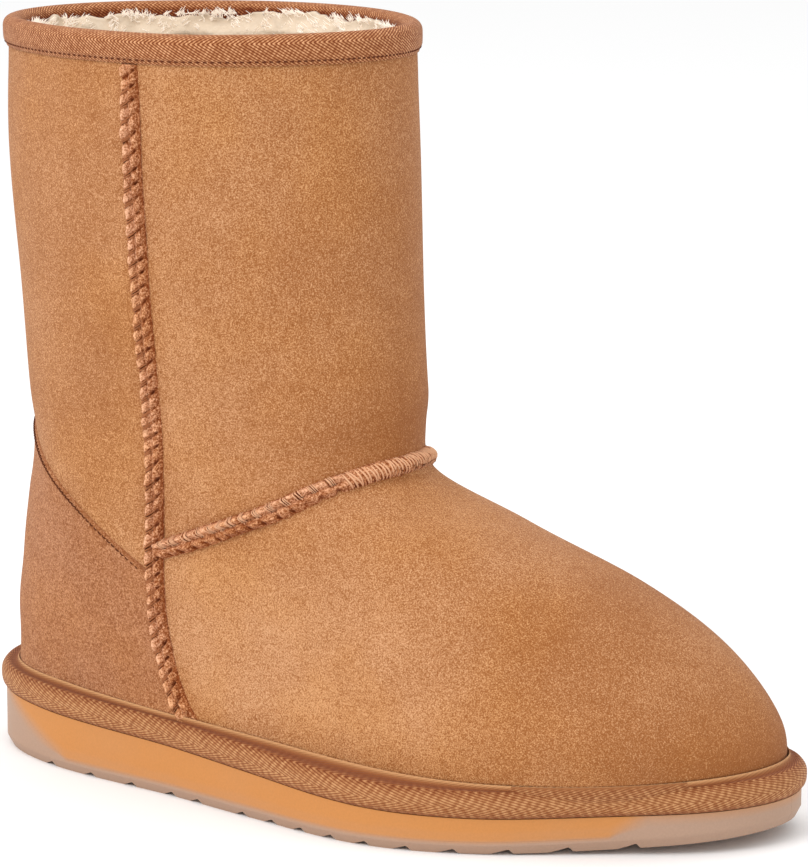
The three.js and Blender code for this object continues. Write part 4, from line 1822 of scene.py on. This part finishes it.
@dataclass
class Fleece:
    """The sheepskin's inner side: a thick pile on the shaft and foot, a fleece insole, and loose curls."""

    form: UpperForm
    pile: float = 7.0
    lip: float = 2.2
    rows: int = 130
    fine_rows: int = 70
    fine_depth: float = 60
    whole_depth: float = 222
    columns: int = 200
    curls: int = 7600
    tufts: int = 620
    curl_reach: float = 44
    curl_radius: float = 0.26
    cushion: float = 4.5

    def skin(self, drop: Array) -> Array:
        """How far the pile's root lies inside the upper's outer side: deeper under the collar's tape."""
        return self.form.sizes.lining + 1.4 * ease(-drop, -9.5, -8.0)

    def depth(self, places: Array, drop: Array) -> Array:
        """Thickness of the pile: clumps of three sizes, thin at the lip.

        Args:
            places: Places in millimetres.
            drop: How far they lie under the pile's upper edge.

        Returns:
            The thickness in millimetres.
        """
        clumps = sum(
            height * waves(places, size, seed) for height, size, seed in ((0.9, 9, 21), (0.5, 4.2, 22), (0.3, 2.2, 23))
        )
        return self.pile * (0.3 + 0.7 * ease(drop, 0, 10)) + clumps * ease(drop, -1.5, 3)

    def ragged(self, turn: Array) -> Array:
        """How far the pile's upper edge strays up and down around the collar, in millimetres."""
        ring = 60 * np.stack([np.cos(turn), np.sin(turn), 0 * turn], axis=-1)
        return 0.9 * waves(ring, 7, seed=24) + 0.5 * waves(ring, 2.6, seed=25)

    def build(self, shop: MeshShop) -> bpy.types.Object:
        """The lining as a shell from just under the collar's edge down to the sole.

        Args:
            shop: Makes the mesh.

        Returns:
            The new object.
        """
        turn = even_turns(self.columns)[None]
        near = np.linspace(self.lip, self.fine_depth, self.fine_rows)
        below = np.linspace(self.fine_depth + 2, self.whole_depth, self.rows - self.fine_rows)
        drop = np.concatenate([near, below])[:, None]
        drop = drop + self.ragged(turn) * ease(-drop, -30, -self.lip)
        t = self.form.level_at_height(self.form.sizes.boot_height - drop)
        skin = self.skin(drop)
        outer = self.form.off(t, turn, -skin)
        thick = self.depth(outer, drop - self.lip)
        inner = self.form.off(t, turn, -(skin + thick))
        grid = np.vstack([outer[::-1], inner])
        return shop.surface("fleece_lining", grid, Ends.JOINED)

    def loose(self, shop: MeshShop) -> bpy.types.Object:
        """Curls that stand out of the pile near the collar in tufts, each a bent hair that thins to its tip.

        Args:
            shop: Makes the mesh.

        Returns:
            The new object.
        """
        rng = np.random.default_rng(5)
        home = rng.integers(0, self.tufts, self.curls)
        stray = rng.normal(0, 1, (2, self.curls))
        drop = (self.lip + rng.uniform(0, 1, self.tufts) ** 2.2 * self.curl_reach)[home] + 0.7 * stray[0]
        drop = np.maximum(drop, self.lip)
        turn = rng.uniform(0, 2 * math.pi, self.tufts)[home] + 0.018 * stray[1]
        t = self.form.level_at_height(self.form.sizes.boot_height - drop)
        skin = self.skin(drop)
        rough = self.form.off(t, turn, -skin)
        thick = self.depth(rough, drop - self.lip)
        root = self.form.off(t, turn, -(skin + thick * rng.uniform(0.55, 0.95, self.curls)))
        inward = -self.form.normal(t, turn)
        around = unit(np.cross(inward, UP))
        rise = rng.uniform(0.3, 1.2, self.curls)[:, None] * np.array(UP)
        gather = around * (rng.normal(0, 0.2, self.curls) - 0.45 * stray[1])[:, None]
        aim = unit(inward * rng.uniform(0.1, 0.9, (self.curls, 1)) + rise + gather)
        lean = rng.normal(0, 1, (2, self.tufts))[:, home, None]
        bend = unit(around * lean[0] + inward * 0.6 * lean[1])
        length = rng.uniform(1.0, 3.0, (self.curls, 1, 1))
        share = np.linspace(0, 1, 4)[None, :, None]
        paths = root[:, None] + aim[:, None] * length * share + bend[:, None] * length * 0.45 * share**2
        radius = self.curl_radius * (1 - 0.85 * share[..., 0]) * np.ones((self.curls, 1))
        return shop.tubes("fleece_curls", paths, radius, sides=3)

    def footbed(self, shop: MeshShop, sole: SoleForm) -> bpy.types.Object:
        """The fleece insole: a low cushion inside the upper, on the sole.

        Args:
            shop: Makes the mesh.
            sole: The sole's form.

        Returns:
            The new object.
        """
        theta = np.linspace(0, math.pi, 110)[1:-1][:, None]
        inset = np.full(theta.shape, -(self.form.sizes.lining + self.form.sizes.ledge))
        outer, inner = sole.outline.grown(-theta, inset), sole.outline.grown(theta, inset)
        share = np.linspace(0, 1, 40)[None, :, None]
        top = outer + (inner - outer) * share
        crown = np.sqrt(np.clip(1 - (2 * share[..., 0] - 1) ** 8, 0, 1))
        base = sole.top(top[..., 0]) + self.form.sizes.clearance
        bottom = top.copy()[:, ::-1]
        bottom[..., 2] = base[:, ::-1]
        top[..., 2] = base + (self.cushion + 0.6 * waves(top, 7, seed=31)) * (0.15 + 0.85 * crown)
        return shop.surface("fleece_footbed", np.concatenate([top, bottom], axis=1), Ends.CAPPED)


@dataclass
class Studio:
    """A pale floor, soft lights and the camera at the photograph's viewing angle."""

    target: Triple = (138.0, 0.0, 122.0)
    azimuth: float = 34.428
    elevation: float = 11.709
    distance: float = 1294.47
    focal: float = 4057.516
    middle: tuple[float, float] = (360.45, 420.445)
    width: int = 808
    height: int = 867
    sensor: float = 36.0
    floor_half: float = 4.0
    floor_tone: float = 0.93
    aim_height: float = 0.1
    lamps: tuple[tuple[str, Triple, float, float], ...] = (
        ("key", (-0.3, -1.35, 1.4), 0.8, 13.0),
        ("top", (0.1, -0.1, 1.7), 1.2, 6.0),
    )

    def camera(self, shop: MeshShop) -> None:
        """Sets the camera, its lens and shift from the photograph's focal length and optical middle in pixels.

        Args:
            shop: Knows where the boot's own frame lies.
        """
        a, e = math.radians(self.azimuth), math.radians(self.elevation)
        back = Vector((math.sin(a) * math.cos(e), -math.cos(a) * math.cos(e), math.sin(e)))
        target = Vector(shop.place(np.array(self.target)))
        data = bpy.data.cameras.new("camera")
        data.sensor_width = self.sensor
        longest = max(self.width, self.height)
        data.lens = self.focal * data.sensor_width / longest
        data.shift_x = (self.width / 2 - self.middle[0]) / longest
        data.shift_y = (self.middle[1] - self.height / 2) / longest
        data.clip_start, data.clip_end = 0.05, 20.0
        camera = new_object("camera", data)
        camera.matrix_world = self.facing(target + back * self.distance * MM, back)
        bpy.context.scene.camera = camera

    @staticmethod
    def facing(place: Vector, back: Vector) -> Matrix:
        """The place and turn of a camera or light that looks against a direction."""
        return Matrix.Translation(place) @ back.to_track_quat("Z", "Y").to_matrix().to_4x4()

    def floor(self) -> None:
        """A wide pale floor."""
        half = self.floor_half
        mesh = bpy.data.meshes.new("floor")
        mesh.from_pydata([(-half, -half, 0), (half, -half, 0), (half, half, 0), (-half, half, 0)], [], [(0, 1, 2, 3)])
        floor = new_object("floor", mesh)
        material = bpy.data.materials.new("pale_floor")
        material.use_nodes = True
        surface = material.node_tree.nodes["Principled BSDF"]
        Graph(material.node_tree).give(
            surface, {"Base Color": (*[self.floor_tone] * 3, 1.0), "Roughness": 0.9, "Specular IOR Level": 0.0}
        )
        mesh.materials.append(material)

    def light(self, name: str, place: Triple, size: float, power: float) -> None:
        """A square soft light that looks at the boot.

        Args:
            name: The light's name.
            place: Where it hangs, in metres.
            size: Its side in metres.
            power: Its power in watts.
        """
        data = bpy.data.lights.new(name, "AREA")
        data.shape, data.size, data.energy = "SQUARE", size, power
        aim = Vector((0.0, 0.0, self.aim_height))
        new_object(name, data).matrix_world = self.facing(Vector(place), Vector(place) - aim)

    def build(self, shop: MeshShop) -> None:
        """Sets the camera, floor, lights and the white surroundings.

        Args:
            shop: Knows where the boot's own frame lies.
        """
        self.camera(shop)
        self.floor()
        world = bpy.data.worlds.new("studio")
        bpy.context.scene.world = world
        world.use_nodes = True
        background = world.node_tree.nodes["Background"]
        background.inputs[0].default_value = (1.0, 1.0, 1.0, 1.0)
        background.inputs[1].default_value = 1.0
        for lamp in self.lamps:
            self.light(*lamp)
        bpy.context.scene.view_settings.view_transform = "Standard"


def main() -> None:
    """Builds the boot's pieces in order, dresses each, and sets the studio."""
    logging.basicConfig(level=logging.INFO, format="%(name)s: %(message)s")
    sizes = Sizes()
    sole = SoleForm(sizes)
    form = UpperForm(sizes, sole)
    shop = MeshShop(sole)
    routes = Routes(form)
    Studio().build(shop)
    finishes = Finishes.build()

    suede = Suede(
        "suede", (145, 88, 46), (209, 157, 115), 0.95, relief=0.35, strength=0.75, sheen=0.05
    ).material(finishes)
    rough = Suede(
        "counter_suede", (134, 78, 42), (195, 140, 103), 0.95, relief=0.45, strength=0.85, sheen=0.05, grain=1700.0
    ).material(finishes)
    edge = Suede(
        "seam_suede", (116, 54, 16), (232, 176, 140), 0.92, relief=0.3, sheen=0.05, grain=1400.0, speckle=3.0
    ).material(finishes)
    tape = Twill("tape", (94, 34, 0), (215, 159, 116), 0.85, relief=0.22, sheen=0.05).material(finishes)
    binding = Twill(
        "sole_tape", (104, 46, 14), (193, 141, 96), 0.85, relief=0.22, sheen=0.05, rib=2.7, column=5.2, lean=3.2,
        thin=0.3,
    ).material(finishes)
    # The collar's and the counter's stitches take a dark thread as painted shade for the dark dashes of their stitch
    # lines.
    thread, side_thread, stitch_shadow_thread = (
        Strands(name, colour, colour, 0.85).material()
        for name, colour in (
            ("thread", (232, 178, 138)), ("side_thread", (172, 108, 68)), ("stitch_shadow", (96, 44, 16)),
        )
    )
    rubber = Moulded("rubber", (172, 141, 120), (196, 132, 72), 0.55, relief=0.05, strength=0.3).material()
    pile = Pile("fleece", (194, 170, 142), (230, 213, 192), 0.95, relief=0.5, sheen=0.2).material(finishes)
    # The curls glow a little: painted light for the light that passes among the hairs.
    curl = Strands("fleece_curl", (250, 238, 224), (250, 238, 224), 0.95, glow=0.3).material()

    finish_piece(Skin(form, routes).build(shop), suede, ["upper"])
    counter = Counter(form, routes)
    finish_piece(counter.build(shop), rough, ["heel_counter"])
    finish_piece(counter.stitches(shop), stitch_shadow_thread)
    seams = (
        Seam("outer_seam", "seam_outer", routes.side(-1, 740), form, 1, seed=2),
        Seam("inner_seam", "seam_inner", routes.side(1, 740), form, -1, seed=3),
        Seam("vamp_seam", "seam_vamp", routes.vamp(740), form, 1, slant=1.2, notch=-0.74, spans=(1.0, -0.1), neck=1.0,
             step=0.62, seed=4, edge_shadow=0.15, strands=4, strand=0.2, sunk=-3.0, dense=(0.37, 0.63)),
    )
    for seam, strands in zip(seams, (side_thread, side_thread, thread)):
        finish_piece(seam.build(shop), edge, [seam.node])
        finish_piece(seam.thread(shop), strands)
    collar = CollarTape(form)
    finish_piece(collar.build(shop), tape, ["collar_binding"])
    finish_piece(collar.stitches(shop), stitch_shadow_thread)
    finish_piece(SoleBinding(form, sole, routes).build(shop), binding, ["sole_binding"])
    base = SoleUnit(sole)
    finish_piece(base.rubber(shop), rubber, ["outsole"])
    finish_piece(base.foam(shop), rubber, ["midsole"])
    fleece = Fleece(form)
    finish_piece(fleece.build(shop), pile)
    finish_piece(fleece.loose(shop), curl)
    finish_piece(fleece.footbed(shop, sole), pile, ["insole"])


if __name__ == "__main__":
    main()
